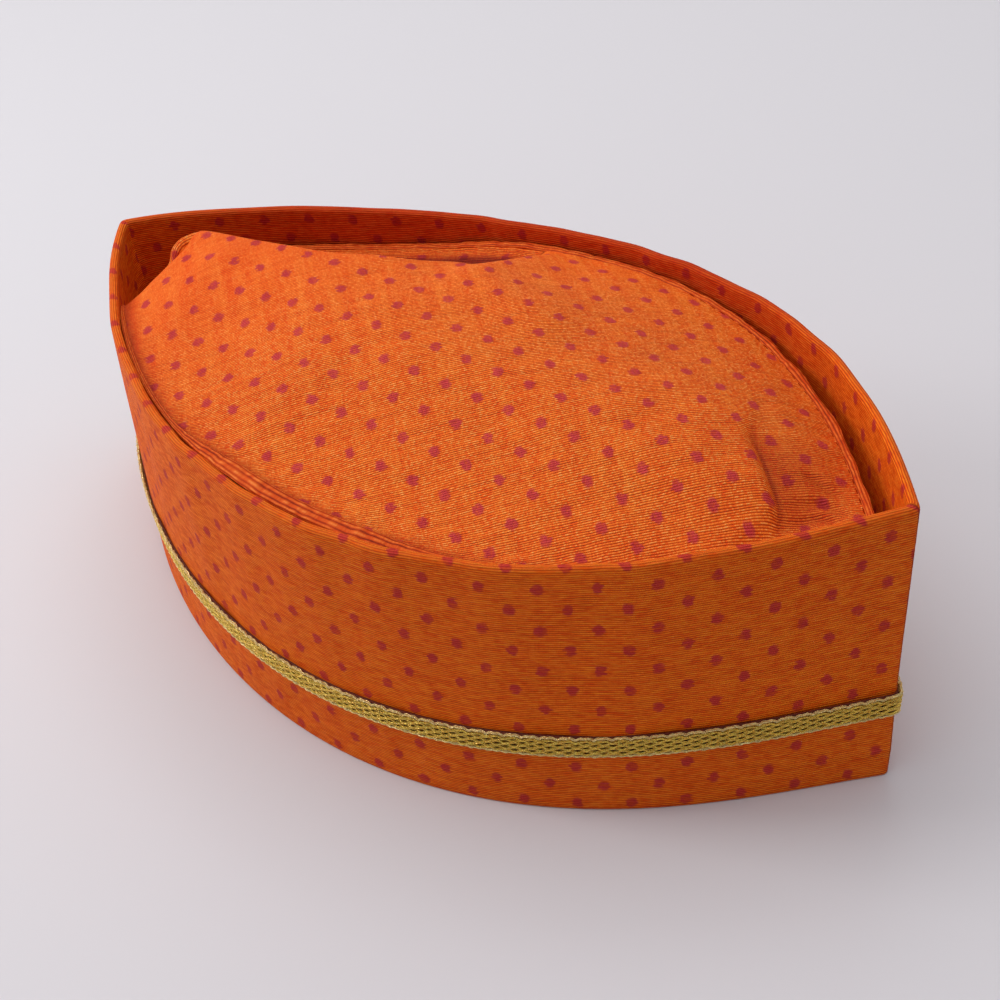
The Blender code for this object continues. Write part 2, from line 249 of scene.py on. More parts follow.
@dataclass
class CapPlan:
    """The lines that the band, the braid and the crown share."""

    height: float = 0.0750
    thickness: float = 0.0024
    foot_left: complex = -0.1220 + 0.0j
    foot_right: complex = 0.1220 + 0.0j
    rim_left: complex = -0.1192 - 0.0010j
    rim_right: complex = 0.1216 + 0.0089j
    line_steps: int = 400
    line_overrun: float = 0.03
    heading_step: float = 0.002
    corner_steps: int = 2000
    seam_stations: int = 180
    seam_steps: int = 1440
    tip_rounding: float = 0.0036

    def __post_init__(self) -> None:
        """Work out the four edges of the walls and the place of the origin."""
        self.edges = {
            "near_foot": self._edge("near_foot", self.foot_left, self.foot_right),
            "near_rim": self._edge("near_rim", self.rim_left, self.rim_right),
            "far_foot": self._edge("far_foot", self.foot_left, self.foot_right),
            "far_rim": self._edge("far_rim", self.rim_left, self.rim_right),
        }
        along, line = self.edges["near_foot"]
        self.wall_length = np.abs(np.diff(line)).sum() / (along[-1] - along[0])
        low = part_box("outer_band")[0]
        shares = np.linspace(0.0, 1.0, self.line_steps)
        near = np.concatenate([self.points(Side.NEAR, shares, h, 0.0)[0] for h in (0.0, self.height)])
        self.origin = complex(low.x - near.real.min(), low.y - near.imag.min())

    def _edge(self, name: str, left: complex, right: complex) -> tuple[np.ndarray, np.ndarray]:
        """Plan line of one edge of a wall.

        Args:
            name: The column of the edge's directions.
            left: Where its left crease lies.
            right: Where its right crease lies.

        Returns:
            Shares along the edge, and points that join its two creases.
        """
        knots = column(WALL_ROWS, "along")
        turn = np.polynomial.Polynomial.fit(knots, np.radians(column(WALL_ROWS, name)), len(knots) - 1)
        along = np.linspace(-self.line_overrun, 1.0 + self.line_overrun, self.line_steps + 1)
        steps = np.exp(1j * turn((along[1:] + along[:-1]) / 2)) * np.diff(along)
        line = np.concatenate([[0], np.cumsum(steps)])
        start, end = read_line(np.array([0.0, 1.0]), along, line)
        return along, left + (line - start) / (end - start) * (right - left)

    def points(
        self, side: Side, along: np.ndarray, height: float | np.ndarray, inset: float | np.ndarray
    ) -> tuple[np.ndarray, np.ndarray]:
        """Points of a wall at a height, moved into the cap by the inset, and the wall's headings.

        Args:
            side: The near or the far wall.
            along: Shares of the way from the left crease to the right one.
            height: Height above the foot.
            inset: Distance into the cap from the wall's outer face.

        Returns:
            Complex plan points before they are centred, and unit headings.
        """
        share = np.asarray(height) / self.height

        def at(where: np.ndarray) -> np.ndarray:
            """Points of the wall's outer face at shares of the way along it."""
            low, high = (read_line(where, *self.edges[side.value + edge]) for edge in ("_foot", "_rim"))
            return low + (high - low) * share

        heading = at(along + self.heading_step) - at(along - self.heading_step)
        heading /= abs(heading)
        inward = heading * (1j if side is Side.NEAR else -1j)
        return at(along) + inward * inset, heading

    def trims(self, height: float, inset: float) -> np.ndarray:
        """Shares of the walls that are cut off at both creases.

        Args:
            height: Height above the foot.
            inset: Distance into the cap, at which the two walls meet earlier.

        Returns:
            The share at the left crease and the one at the right crease.
        """
        ends = np.array([0.0, 1.0])
        near = self.points(Side.NEAR, ends, height, 0.0)[1]
        far = self.points(Side.FAR, ends, height, 0.0)[1]
        half_corner = abs(np.angle(far / near)) / 2
        return inset / np.tan(half_corner) / self.wall_length

    def centred(self, points: np.ndarray, height: np.ndarray | float) -> np.ndarray:
        """Frame points from plan points and heights."""
        points = points + self.origin
        return np.stack([points.real, points.imag, np.broadcast_to(height, points.shape)], axis=-1)

    def ring(self, height: float, inset: float, shares: np.ndarray, rounding: float) -> np.ndarray:
        """Closed loop round the band from its left crease, with rounded creases.

        Args:
            height: Height of the loop.
            inset: Distance into the cap from the outer face.
            shares: Places along each wall, rising from 0 to 1 with both ends.
            rounding: How far the creases are rounded.

        Returns:
            One point for each share of the near wall and, back again, each inner share of the far one.
        """
        left, right = self.trims(height, max(inset, 0.0))
        fine = np.linspace(left, 1.0 - right, self.corner_steps + 1)
        near = self.points(Side.NEAR, fine, height, inset)[0]
        far = self.points(Side.FAR, fine, height, inset)[0]
        near[0] = (near[0] + far[0]) / 2
        far[-1] = (near[-1] + far[-1]) / 2
        loop = np.concatenate([near[:-1], far[:0:-1]])
        step = self.wall_length / self.corner_steps
        away = np.arange(len(loop))
        away = np.minimum(away, len(loop) - away) * step
        weight = np.exp(-((away / rounding) ** 2) / 2)
        soft = np.fft.ifft(np.fft.fft(loop) * np.fft.fft(weight / weight.sum()))
        places = np.concatenate([shares, 2.0 - shares[-2:0:-1]]) * self.corner_steps
        ends = np.append(soft, soft[0])
        count = np.arange(len(ends))
        points = np.interp(places, count, ends.real) + 1j * np.interp(places, count, ends.imag)
        return self.centred(points, height)

    def seam(self) -> np.ndarray:
        """The crown's seam.

        Returns:
            A closed loop just inside the band, with rounded ends.
        """
        knots = column(SEAM_ROWS, "along")
        lines = []
        for side in Side:
            gaps = column(SEAM_ROWS, side.value + "_gap")
            left = self.trims(self.height, self.thickness + gaps[0])[0]
            right = self.trims(self.height, self.thickness + gaps[-1])[1]
            along = np.linspace(left, 1.0 - right, self.seam_stations)
            height = smooth_through(knots, column(SEAM_ROWS, side.value + "_height"), along)
            inset = self.thickness + smooth_through(knots, gaps, along)
            lines.append(self.centred(self.points(side, along, height, inset)[0], height))
        return self.rounded(np.vstack([lines[0], lines[1][::-1]]), self.tip_rounding)

    def rounded(self, points: np.ndarray, rounding: float) -> np.ndarray:
        """A closed loop resampled evenly, with its corners rounded off.

        Args:
            points: Points of the loop.
            rounding: How far its corners are rounded.

        Returns:
            The new loop.
        """
        closed = np.vstack([points, points[:1]])
        reach = np.concatenate([[0], np.cumsum(np.linalg.norm(np.diff(closed[:, :2], axis=0), axis=1))])
        even = np.arange(self.seam_steps) / self.seam_steps * reach[-1]
        fine = np.stack([np.interp(even, reach, closed[:, k]) for k in range(3)], axis=1)
        away = np.minimum(even, reach[-1] - even)
        weight = np.exp(-((away / rounding) ** 2) / 2)
        weight /= weight.sum()
        return np.fft.ifft(np.fft.fft(fine, axis=0) * np.fft.fft(weight)[:, None], axis=0).real


def inset_loop(loop: np.ndarray, inset: float | np.ndarray, lift: float | np.ndarray = 0.0) -> np.ndarray:
    """A smooth closed loop moved inwards in plan, and up.

    Args:
        loop: Points of the loop, counter-clockwise.
        inset: Distance inwards, one for all points or one each.
        lift: Distance up.

    Returns:
        The moved loop.
    """
    heading = np.roll(loop, -1, axis=0)[:, :2] - np.roll(loop, 1, axis=0)[:, :2]
    heading /= np.linalg.norm(heading, axis=1)[:, None]
    moved = loop.copy()
    moved[:, 0] -= heading[:, 1] * inset
    moved[:, 1] += heading[:, 0] * inset
    moved[:, 2] += lift
    return moved


def loop_reach(loop: np.ndarray) -> np.ndarray:
    """Distance along a closed loop at each of its points and once more at its start, in millimetres."""
    steps = np.linalg.norm(np.roll(loop, -1, axis=0) - loop, axis=1)
    return np.concatenate([[0.0], np.cumsum(steps)]) / MM


@dataclass
class ClothGrid:
    """A grid of points that becomes a mesh, with its place on the flat cloth."""

    points: np.ndarray
    cloth: np.ndarray
    close_rows: bool = False
    close_columns: bool = False
    shade: np.ndarray | None = None

    def faces(self) -> tuple[np.ndarray, np.ndarray]:
        """The grid's quads.

        Returns:
            Their corners as point numbers, and as places on the cloth.
        """
        rows, columns = self.points.shape[:2]
        down = rows if self.close_rows else rows - 1
        over = columns if self.close_columns else columns - 1
        r, c = np.meshgrid(np.arange(down), np.arange(over), indexing="ij")
        r, c = r.ravel(), c.ravel()
        corners = ((0, 0), (0, 1), (1, 1), (1, 0))
        quads = np.stack([(r + i) % rows * columns + (c + j) % columns for i, j in corners], axis=1)
        places = np.stack([self.cloth[r + i, c + j] for i, j in corners], axis=1)
        return quads, places


def signed_volume(points: np.ndarray, quads: np.ndarray) -> float:
    """How much closed quads hold.

    Args:
        points: The mesh's points.
        quads: Its quads, as point numbers.

    Returns:
        Six times their volume, negative where they face inwards.
    """
    a, b, c, d = (points[quads[:, k]] for k in range(4))
    first = np.einsum("ij,ij->i", a, np.cross(b, c)).sum()
    second = np.einsum("ij,ij->i", a, np.cross(c, d)).sum()
    return float(first + second)


def cloth_object(name: str, grids: Sequence[ClothGrid], weld: bool = False) -> bpy.types.Object:
    """A smooth mesh object from grids that together close it.

    Args:
        name: The object's name.
        grids: Its grids, all wound the same way.
        weld: Whether points in one place are merged.

    Returns:
        The linked object, facing outwards, with the UV map cloth and the attribute shade.
    """
    points, quads, places, shades, count = [], [], [], [], 0
    for grid in grids:
        faces, cloth = grid.faces()
        shades.append(np.ones(grid.points.shape[:2]) if grid.shade is None else grid.shade)
        points.append(grid.points.reshape(-1, 3))
        quads.append(faces + count)
        places.append(cloth)
        count += len(points[-1])
    points, quads, places = np.concatenate(points), np.concatenate(quads), np.concatenate(places)
    if signed_volume(points, quads) < 0.0:
        quads, places = quads[:, ::-1], places[:, ::-1]
    mesh = bpy.data.meshes.new(name)
    mesh.from_pydata(points.tolist(), [], quads.tolist())
    layer = mesh.uv_layers.new(name="cloth")
    layer.data.foreach_set("uv", places.reshape(-1).astype(np.float32))
    shade = mesh.attributes.new(name="shade", type="FLOAT", domain="POINT")
    shade.data.foreach_set("value", np.concatenate([part.ravel() for part in shades]).astype(np.float32))
    if weld:
        body = bmesh.new()
        body.from_mesh(mesh)
        bmesh.ops.remove_doubles(body, verts=body.verts, dist=MERGE_DISTANCE)
        bmesh.ops.dissolve_degenerate(body, edges=body.edges, dist=MERGE_DISTANCE)
        body.to_mesh(mesh)
        body.free()
    mesh.shade_smooth()
    item = bpy.data.objects.new(name, mesh)
    bpy.context.scene.collection.objects.link(item)
    return item


def dress(
    item: bpy.types.Object, finish: bpy.types.Material, stands_for: str | None = None
) -> None:
    """Give a piece its finish and its place on the cap.

    Args:
        item: The piece.
        finish: Its material.
        stands_for: The solid that it replaces, if any.
    """
    item.data.materials.append(finish)
    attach(item, "root")
    if stands_for:
        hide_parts(stands_for)


def linear(red: float, green: float, blue: float) -> tuple[float, float, float, float]:
    """A shader colour from a screen colour.

    Args:
        red: Its red part, 0 to 255.
        green: Its green part.
        blue: Its blue part.

    Returns:
        The colour and an alpha of 1.
    """
    parts = []
    for part in (red, green, blue):
        value = part / 255.0
        parts.append(value / 12.92 if value <= 0.04045 else ((value + 0.055) / 1.055) ** 2.4)
    return (*parts, 1.0)


class Workbench:
    """Short calls for laying out one material's nodes."""

    def __init__(self, name: str) -> None:
        """Start a material with a Principled shader.

        Args:
            name: The material's name.
        """
        self.material = bpy.data.materials.new(name)
        self.material.use_nodes = True
        self.tree = self.material.node_tree
        self.shader = self.tree.nodes["Principled BSDF"].inputs

    def feed(self, socket: Socket, value: object) -> None:
        """Link a socket to another, or set it to a plain value.

        Args:
            socket: The socket to feed.
            value: Another node's output, or a number, vector or colour.
        """
        if isinstance(value, Socket):
            self.tree.links.new(value, socket)
        else:
            socket.default_value = value

    def finish(self, **looks: object) -> bpy.types.Material:
        """Feed the shader's sockets.

        Args:
            looks: What each socket is fed, under its name with underscores for spaces.

        Returns:
            The material.
        """
        for name, value in looks.items():
            self.feed(self.shader[name.replace("_", " ")], value)
        return self.material

    def add(self, kind: str, values: dict, output: int | str = 0, **settings: object) -> Socket:
        """A new node.

        Args:
            kind: The node's type.
            values: What its inputs are fed, by number or name.
            output: The wanted output.
            settings: The node's own settings.

        Returns:
            The output.
        """
        node = self.tree.nodes.new(kind)
        for name, value in settings.items():
            setattr(node, name, value)
        for name, value in values.items():
            self.feed(node.inputs[name], value)
        return node.outputs[output]

    def maths(self, operation: str, *values: object, clamp: bool = False) -> Socket:
        """One step of arithmetic on numbers."""
        return self.add("ShaderNodeMath", dict(enumerate(values)), operation=operation, use_clamp=clamp)

    def times(self, first: object, second: object) -> Socket:
        """The product of two numbers."""
        return self.maths("MULTIPLY", first, second)

    def vector(self, operation: str, *values: object) -> Socket:
        """One step of arithmetic on vectors; LENGTH gives a number."""
        output = "Value" if operation == "LENGTH" else "Vector"
        return self.add("ShaderNodeVectorMath", dict(enumerate(values)), output, operation=operation)

    def combine(self, x: object, y: object, z: object = 0.0) -> Socket:
        """A vector from three numbers."""
        return self.add("ShaderNodeCombineXYZ", {0: x, 1: y, 2: z})

    def split(self, vector: Socket) -> tuple[Socket, Socket]:
        """The first two numbers of a vector."""
        node = self.add("ShaderNodeSeparateXYZ", {0: vector}).node
        return node.outputs[0], node.outputs[1]

    def noise(self, vector: object, scale: float = 1.0, detail: float = 2.0) -> Socket:
        """Soft random values from 0 to 1."""
        values = {"Vector": vector, "Scale": scale, "Detail": detail, "Roughness": 0.5}
        return self.add("ShaderNodeTexNoise", values, noise_dimensions="3D")

    def grain(self, x: object, y: object, pace: tuple[float, float]) -> Socket:
        """Soft random values that change at one pace along x and at another along y."""
        return self.noise(self.combine(self.times(x, pace[0]), self.times(y, pace[1])))

    def sway(self, value: object, size: float, onto: object) -> Socket:
        """A number moved up and down by a random value that lies round one half."""
        return self.maths("MULTIPLY_ADD", self.maths("SUBTRACT", value, 0.5), size, onto)

    def span(
        self, value: object, reach: tuple[float, float], start: float = 0.0, end: float = 1.0
    ) -> Socket:
        """A soft change from start to end while the value goes through its reach."""
        values = dict(enumerate((value, *reach, start, end)))
        return self.add("ShaderNodeMapRange", values, interpolation_type="SMOOTHSTEP", clamp=True)

    def mix(self, share: object, first: object, second: object, blend: str = "MIX") -> Socket:
        """Two colours mixed."""
        settings = {"data_type": "RGBA", "blend_type": blend, "clamp_factor": True}
        return self.add("ShaderNodeMix", {0: share, 6: first, 7: second}, 2, **settings)

    def cloth_place(self) -> Socket:
        """Place on the flat cloth, in millimetres."""
        return self.add("ShaderNodeUVMap", {}, uv_map="cloth")

    def bump(self, height: object, depth: float) -> Socket:
        """A normal that follows a height from 0 to 1, times the depth in metres."""
        return self.add("ShaderNodeBump", {"Height": height, "Distance": depth, "Strength": 1.0})


@dataclass(frozen=True)
class DottedSilk:
    """Ribbed cotton silk with small woven dots; a dot lies at the start of the cloth's coordinates.

    Ribs run along x and are counted along y. A pace says how many changes there are for each millimetre
    along x and for each millimetre or rib along y. Folds are places along y where the cloth turns sharply;
    there a painted sheen tone is mixed in.
    """

    name: str
    # Crest and valley: ribs painted lighter on top and darker below, as painted light and shade. Groove:
    # painted shade between ribs. Glint: painted highlight.
    crest: tuple[float, float, float] = (255, 146, 44)
    valley: tuple[float, float, float] = (226, 76, 2)
    groove: tuple[float, float, float] = (112, 26, 0)
    dot_crest: tuple[float, float, float] = (222, 76, 70)
    dot_valley: tuple[float, float, float] = (166, 34, 40)
    fold_sheen: tuple[float, float, float] = (255, 152, 62)
    glint: tuple[float, float, float] = (255, 186, 112)
    rib_pitch: float = 0.60
    rib_wander: float = 0.42
    wander_pace: tuple[float, float] = (0.16, 0.5)
    bead_pace: float = 1.25
    bead_step: float = 5.3
    bead_reach: tuple[float, float] = (0.28, 0.72)
    bead_low: float = 0.15
    streaks: float = 0.30
    streak_pace: float = 0.07
    streak_step: float = 3.7
    slubs: float = 0.70
    slub_pace: tuple[float, float] = (0.34, 0.03)
    warps: float = 0.45
    warp_pace: tuple[float, float] = (3.2, 0.30)
    patches: float = 0.15
    patch_pace: float = 0.045
    groove_width: float = 0.50
    groove_share: float = 0.95
    groove_breaks: tuple[float, float] = (0.75, 1.2)
    groove_least: float = 0.25
    glint_share: float = 0.55
    glint_reach: tuple[float, float] = (0.85, 1.4)
    glint_warp: float = 0.7
    glint_light: tuple[float, float] = (0.72, 0.98)
    cell: tuple[float, float] = (12.566, 12.152)
    dot_radius: float = 1.28
    dot_blur: float = 0.32
    dot_squeeze: float = 0.80
    dot_gaps: float = 0.48
    dot_gap_reach: tuple[float, float] = (0.30, 0.55)
    fray: float = 2.60
    fray_pace: tuple[float, float] = (0.35, 9.1)
    whole_ribs: float = 0.55
    calm: tuple[float, ...] = ()
    calm_share: float = 0.40
    calm_tone: float = 0.22
    # Folds take a painted sheen: the tone of a folded edge where the light falls on it.
    folds: tuple[float, ...] = ()
    fold_reach: float = 1.5
    fold_sheen_share: float = 0.30
    fold_sheen_beads: tuple[float, float] = (0.2, 0.6)
    # Inside: painted shade on the band's inner face, growing between these places along the cloth and easing
    # off towards inside_end.
    inside: tuple[float, ...] = ()
    inside_from: tuple[float, float] = (18.5, 20.5)
    inside_end: tuple[float, float] = (270.0, 331.0)
    inside_least: float = 0.4
    inside_shade_tint: tuple[float, float, float, float] = (0.70, 0.37, 0.48, 1.0)
    shaded: bool = False
    shade_tint: float = 1.7
    roughness: float = 0.62
    roughness_swing: float = 0.1
    specular: float = 0.14
    rib_depth: float = 0.00020
    warp_height: float = 0.45
    dot_height: float = 0.35

    def build(self) -> bpy.types.Material:
        """Lay out the silk.

        Returns:
            The finished material.
        """
        bench = Workbench(self.name)
        place = bench.cloth_place()
        x, y = bench.split(place)
        wavy = bench.sway(bench.grain(x, y, self.wander_pace), self.rib_wander, y)
        turns = bench.maths("DIVIDE", wavy, self.rib_pitch)
        number = bench.maths("FLOOR", turns)
        wave = bench.maths("MULTIPLY_ADD", bench.maths("COSINE", bench.times(turns, math.tau)), -0.5, 0.5)
        bead = bench.grain(x, number, (self.bead_pace, self.bead_step))
        streak = bench.grain(x, number, (self.streak_pace, self.streak_step))
        warp = bench.grain(x, y, self.warp_pace)
        power = bench.span(y, self.calm, self.calm_share, 1.0) if self.calm else 1.0
        rib = bench.times(wave, bench.span(bead, self.bead_reach, self.bead_low, 1.0))
        swing = bench.maths("SUBTRACT", rib, self.calm_tone)
        lit = bench.maths("MULTIPLY_ADD", swing, power, self.calm_tone)
        slub = bench.grain(x, y, self.slub_pace)
        patch = bench.noise(place, self.patch_pace, detail=3.0)
        shares = (self.streaks, self.slubs, self.warps, self.patches)
        for value, share in zip((streak, slub, warp, patch), shares):
            lit = bench.sway(value, share, lit)
        lit = bench.maths("ADD", lit, 0.0, clamp=True)
        # Painted light and shade on the ribs, mixed with random tone in lit.
        silk = bench.mix(lit, linear(*self.valley), linear(*self.crest))
        # Painted shade in the grooves between the ribs.
        least = self.groove_share * self.groove_least
        broken = bench.span(bench.maths("ADD", streak, bead), self.groove_breaks, self.groove_share, least)
        dark = bench.times(bench.span(wave, (0.0, self.groove_width), 1.0, 0.0), broken)
        silk = bench.mix(bench.times(dark, power), silk, linear(*self.groove))
        # Painted highlight: glints on the rib crests.
        bright = bench.maths("MULTIPLY_ADD", warp, self.glint_warp, rib)
        bright = bench.times(bench.span(bright, self.glint_reach, 0.0, self.glint_share), power)
        shade = bench.add("ShaderNodeAttribute", {}, "Fac", attribute_name="shade")
        if self.shaded:
            bright = bench.times(bright, bench.span(shade, self.glint_light))
        silk = bench.mix(bright, silk, linear(*self.glint))
        # Painted sheen along the folds.
        for fold in self.folds:
            away = bench.maths("ABSOLUTE", bench.maths("SUBTRACT", y, fold))
            sheen_share = bench.span(away, (0.0, self.fold_reach), self.fold_sheen_share, 0.0)
            silk = bench.mix(bench.times(sheen_share, bench.span(bead, self.fold_sheen_beads)), silk, linear(*self.fold_sheen))
        dot = self._dots(bench, x, y, number)
        woven = bench.times(dot, bench.span(bead, self.dot_gap_reach, 1.0 - self.dot_gaps, 1.0))
        silk = bench.mix(woven, silk, bench.mix(lit, linear(*self.dot_valley), linear(*self.dot_crest)))
        # Painted shade: the band's inner face is darkened and reddened.
        if self.inside:
            depth = bench.times(bench.span(y, self.inside_from), bench.span(x, self.inside))
            depth = bench.times(depth, bench.span(x, self.inside_end, 1.0, self.inside_least))
            silk = bench.mix(depth, silk, self.inside_shade_tint, "MULTIPLY")
        if self.shaded:
            deep = bench.maths("POWER", shade, self.shade_tint)
            silk = bench.mix(1.0, silk, bench.combine(shade, deep, deep), "MULTIPLY")
        height = bench.times(bench.maths("MULTIPLY_ADD", warp, self.warp_height, rib), power)
        height = bench.maths("MULTIPLY_ADD", dot, self.dot_height, height)
        dullest = self.roughness + self.roughness_swing
        return bench.finish(
            Base_Color=silk,
            Normal=bench.bump(height, self.rib_depth),
            Roughness=bench.span(lit, (0.0, 1.0), dullest, self.roughness - self.roughness_swing),
            Specular_IOR_Level=self.specular,
        )

    def _dots(self, bench: Workbench, x: object, y: object, number: object) -> Socket:
        """How much of the dots' thread shows, with edges that step from rib to rib.

        Args:
            bench: Where the nodes go.
            x: Place along the ribs.
            y: Place across the ribs.
            number: Number of the rib.

        Returns:
            0 on the ground and 1 inside a dot.
        """
        x = bench.sway(bench.grain(x, number, self.fray_pace), self.fray, x)
        row = bench.times(bench.maths("ADD", number, 0.5), self.rib_pitch)
        y = bench.maths("ADD", bench.times(row, self.whole_ribs), bench.times(y, 1.0 - self.whole_ribs))
        place = bench.vector("DIVIDE", bench.combine(x, y), (*self.cell, 1.0))
        reach = []
        for shift in (0.5, 0.0):
            cell = bench.vector("FRACTION", bench.vector("ADD", place, (shift, shift, 0.0)))
            cell = bench.vector("SUBTRACT", cell, (0.5, 0.5, 0.0))
            size = (self.cell[0], self.cell[1] * self.dot_squeeze, 0.0)
            reach.append(bench.vector("LENGTH", bench.vector("MULTIPLY", cell, size)))
        edge = (self.dot_radius - self.dot_blur, self.dot_radius + self.dot_blur)
        return bench.span(bench.maths("MINIMUM", *reach), edge, 1.0, 0.0)


@dataclass(frozen=True)
class GoldThread:
    """Metallic gold thread made of fine twisted filaments; cloth coordinates run along and round it."""

    name: str
    light: tuple[float, float, float] = (255, 232, 96)
    dark: tuple[float, float, float] = (252, 178, 40)
    metallic: float = 0.35
    specular: float = 0.90
    roughness: float = 0.14
    roughness_rise: float = 0.2
    filaments: float = 5.0
    twist: float = 0.16
    fleck_pace: tuple[float, float] = (1.5, 6.0)
    fleck_reach: tuple[float, float] = (0.36, 0.64)
    rough_reach: tuple[float, float] = (0.3, 0.7)
    # Share of pale flecks in the colour: painted glints.
    glint_fleck_share: float = 0.65
    fleck_height: float = 0.8
    depth: float = 0.00024

    def build(self) -> bpy.types.Material:
        """Lay out the thread.

        Returns:
            The finished material.
        """
        bench = Workbench(self.name)
        x, y = bench.split(bench.cloth_place())
        turn = bench.maths("ADD", bench.times(y, self.filaments), bench.times(x, self.twist))
        wave = bench.maths("MULTIPLY_ADD", bench.maths("SINE", bench.times(turn, math.tau)), 0.5, 0.5)
        # Pale flecks: painted glints on the filaments.
        fleck = bench.grain(x, y, self.fleck_pace)
        glint = bench.span(fleck, self.fleck_reach)
        plain = bench.times(wave, 1.0 - self.glint_fleck_share)
        tone = bench.maths("ADD", plain, bench.times(glint, self.glint_fleck_share), clamp=True)
        dullest = self.roughness + self.roughness_rise
        return bench.finish(
            Base_Color=bench.mix(tone, linear(*self.dark), linear(*self.light)),
            Metallic=self.metallic,
            Specular_IOR_Level=self.specular,
            Roughness=bench.span(fleck, self.rough_reach, self.roughness, dullest),
            Normal=bench.bump(bench.maths("MULTIPLY_ADD", glint, self.fleck_height, wave), self.depth),
        )


@dataclass(frozen=True)
class BackingShadeCloth:
    """Dull woven tape behind the gold threads."""

    # The tape is painted dark, as the shade between and above the gold threads.
    name: str
    light: tuple[float, float, float] = (120, 40, 8)
    dark: tuple[float, float, float] = (64, 18, 4)
    grain_pace: float = 1.6
    roughness: float = 0.85
    depth: float = 0.0001

    def build(self) -> bpy.types.Material:
        """Lay out the tape.

        Returns:
            The finished material.
        """
        bench = Workbench(self.name)
        grain = bench.noise(bench.cloth_place(), self.grain_pace, detail=3.0)
        return bench.finish(
            Base_Color=bench.mix(grain, linear(*self.dark), linear(*self.light)),
            Roughness=self.roughness,
            Normal=bench.bump(grain, self.depth),
        )


@dataclass(frozen=True)
class PlainFinish:
    """A matt finish of one colour, for sewing thread and for the floor."""

    name: str
    colour: tuple[float, float, float]
    roughness: float = 0.9
    specular: float = 0.0

    def build(self) -> bpy.types.Material:
        """The finished material."""
        looks = {"Base_Color": linear(*self.colour), "Roughness": self.roughness}
        return Workbench(self.name).finish(**looks, Specular_IOR_Level=self.specular)


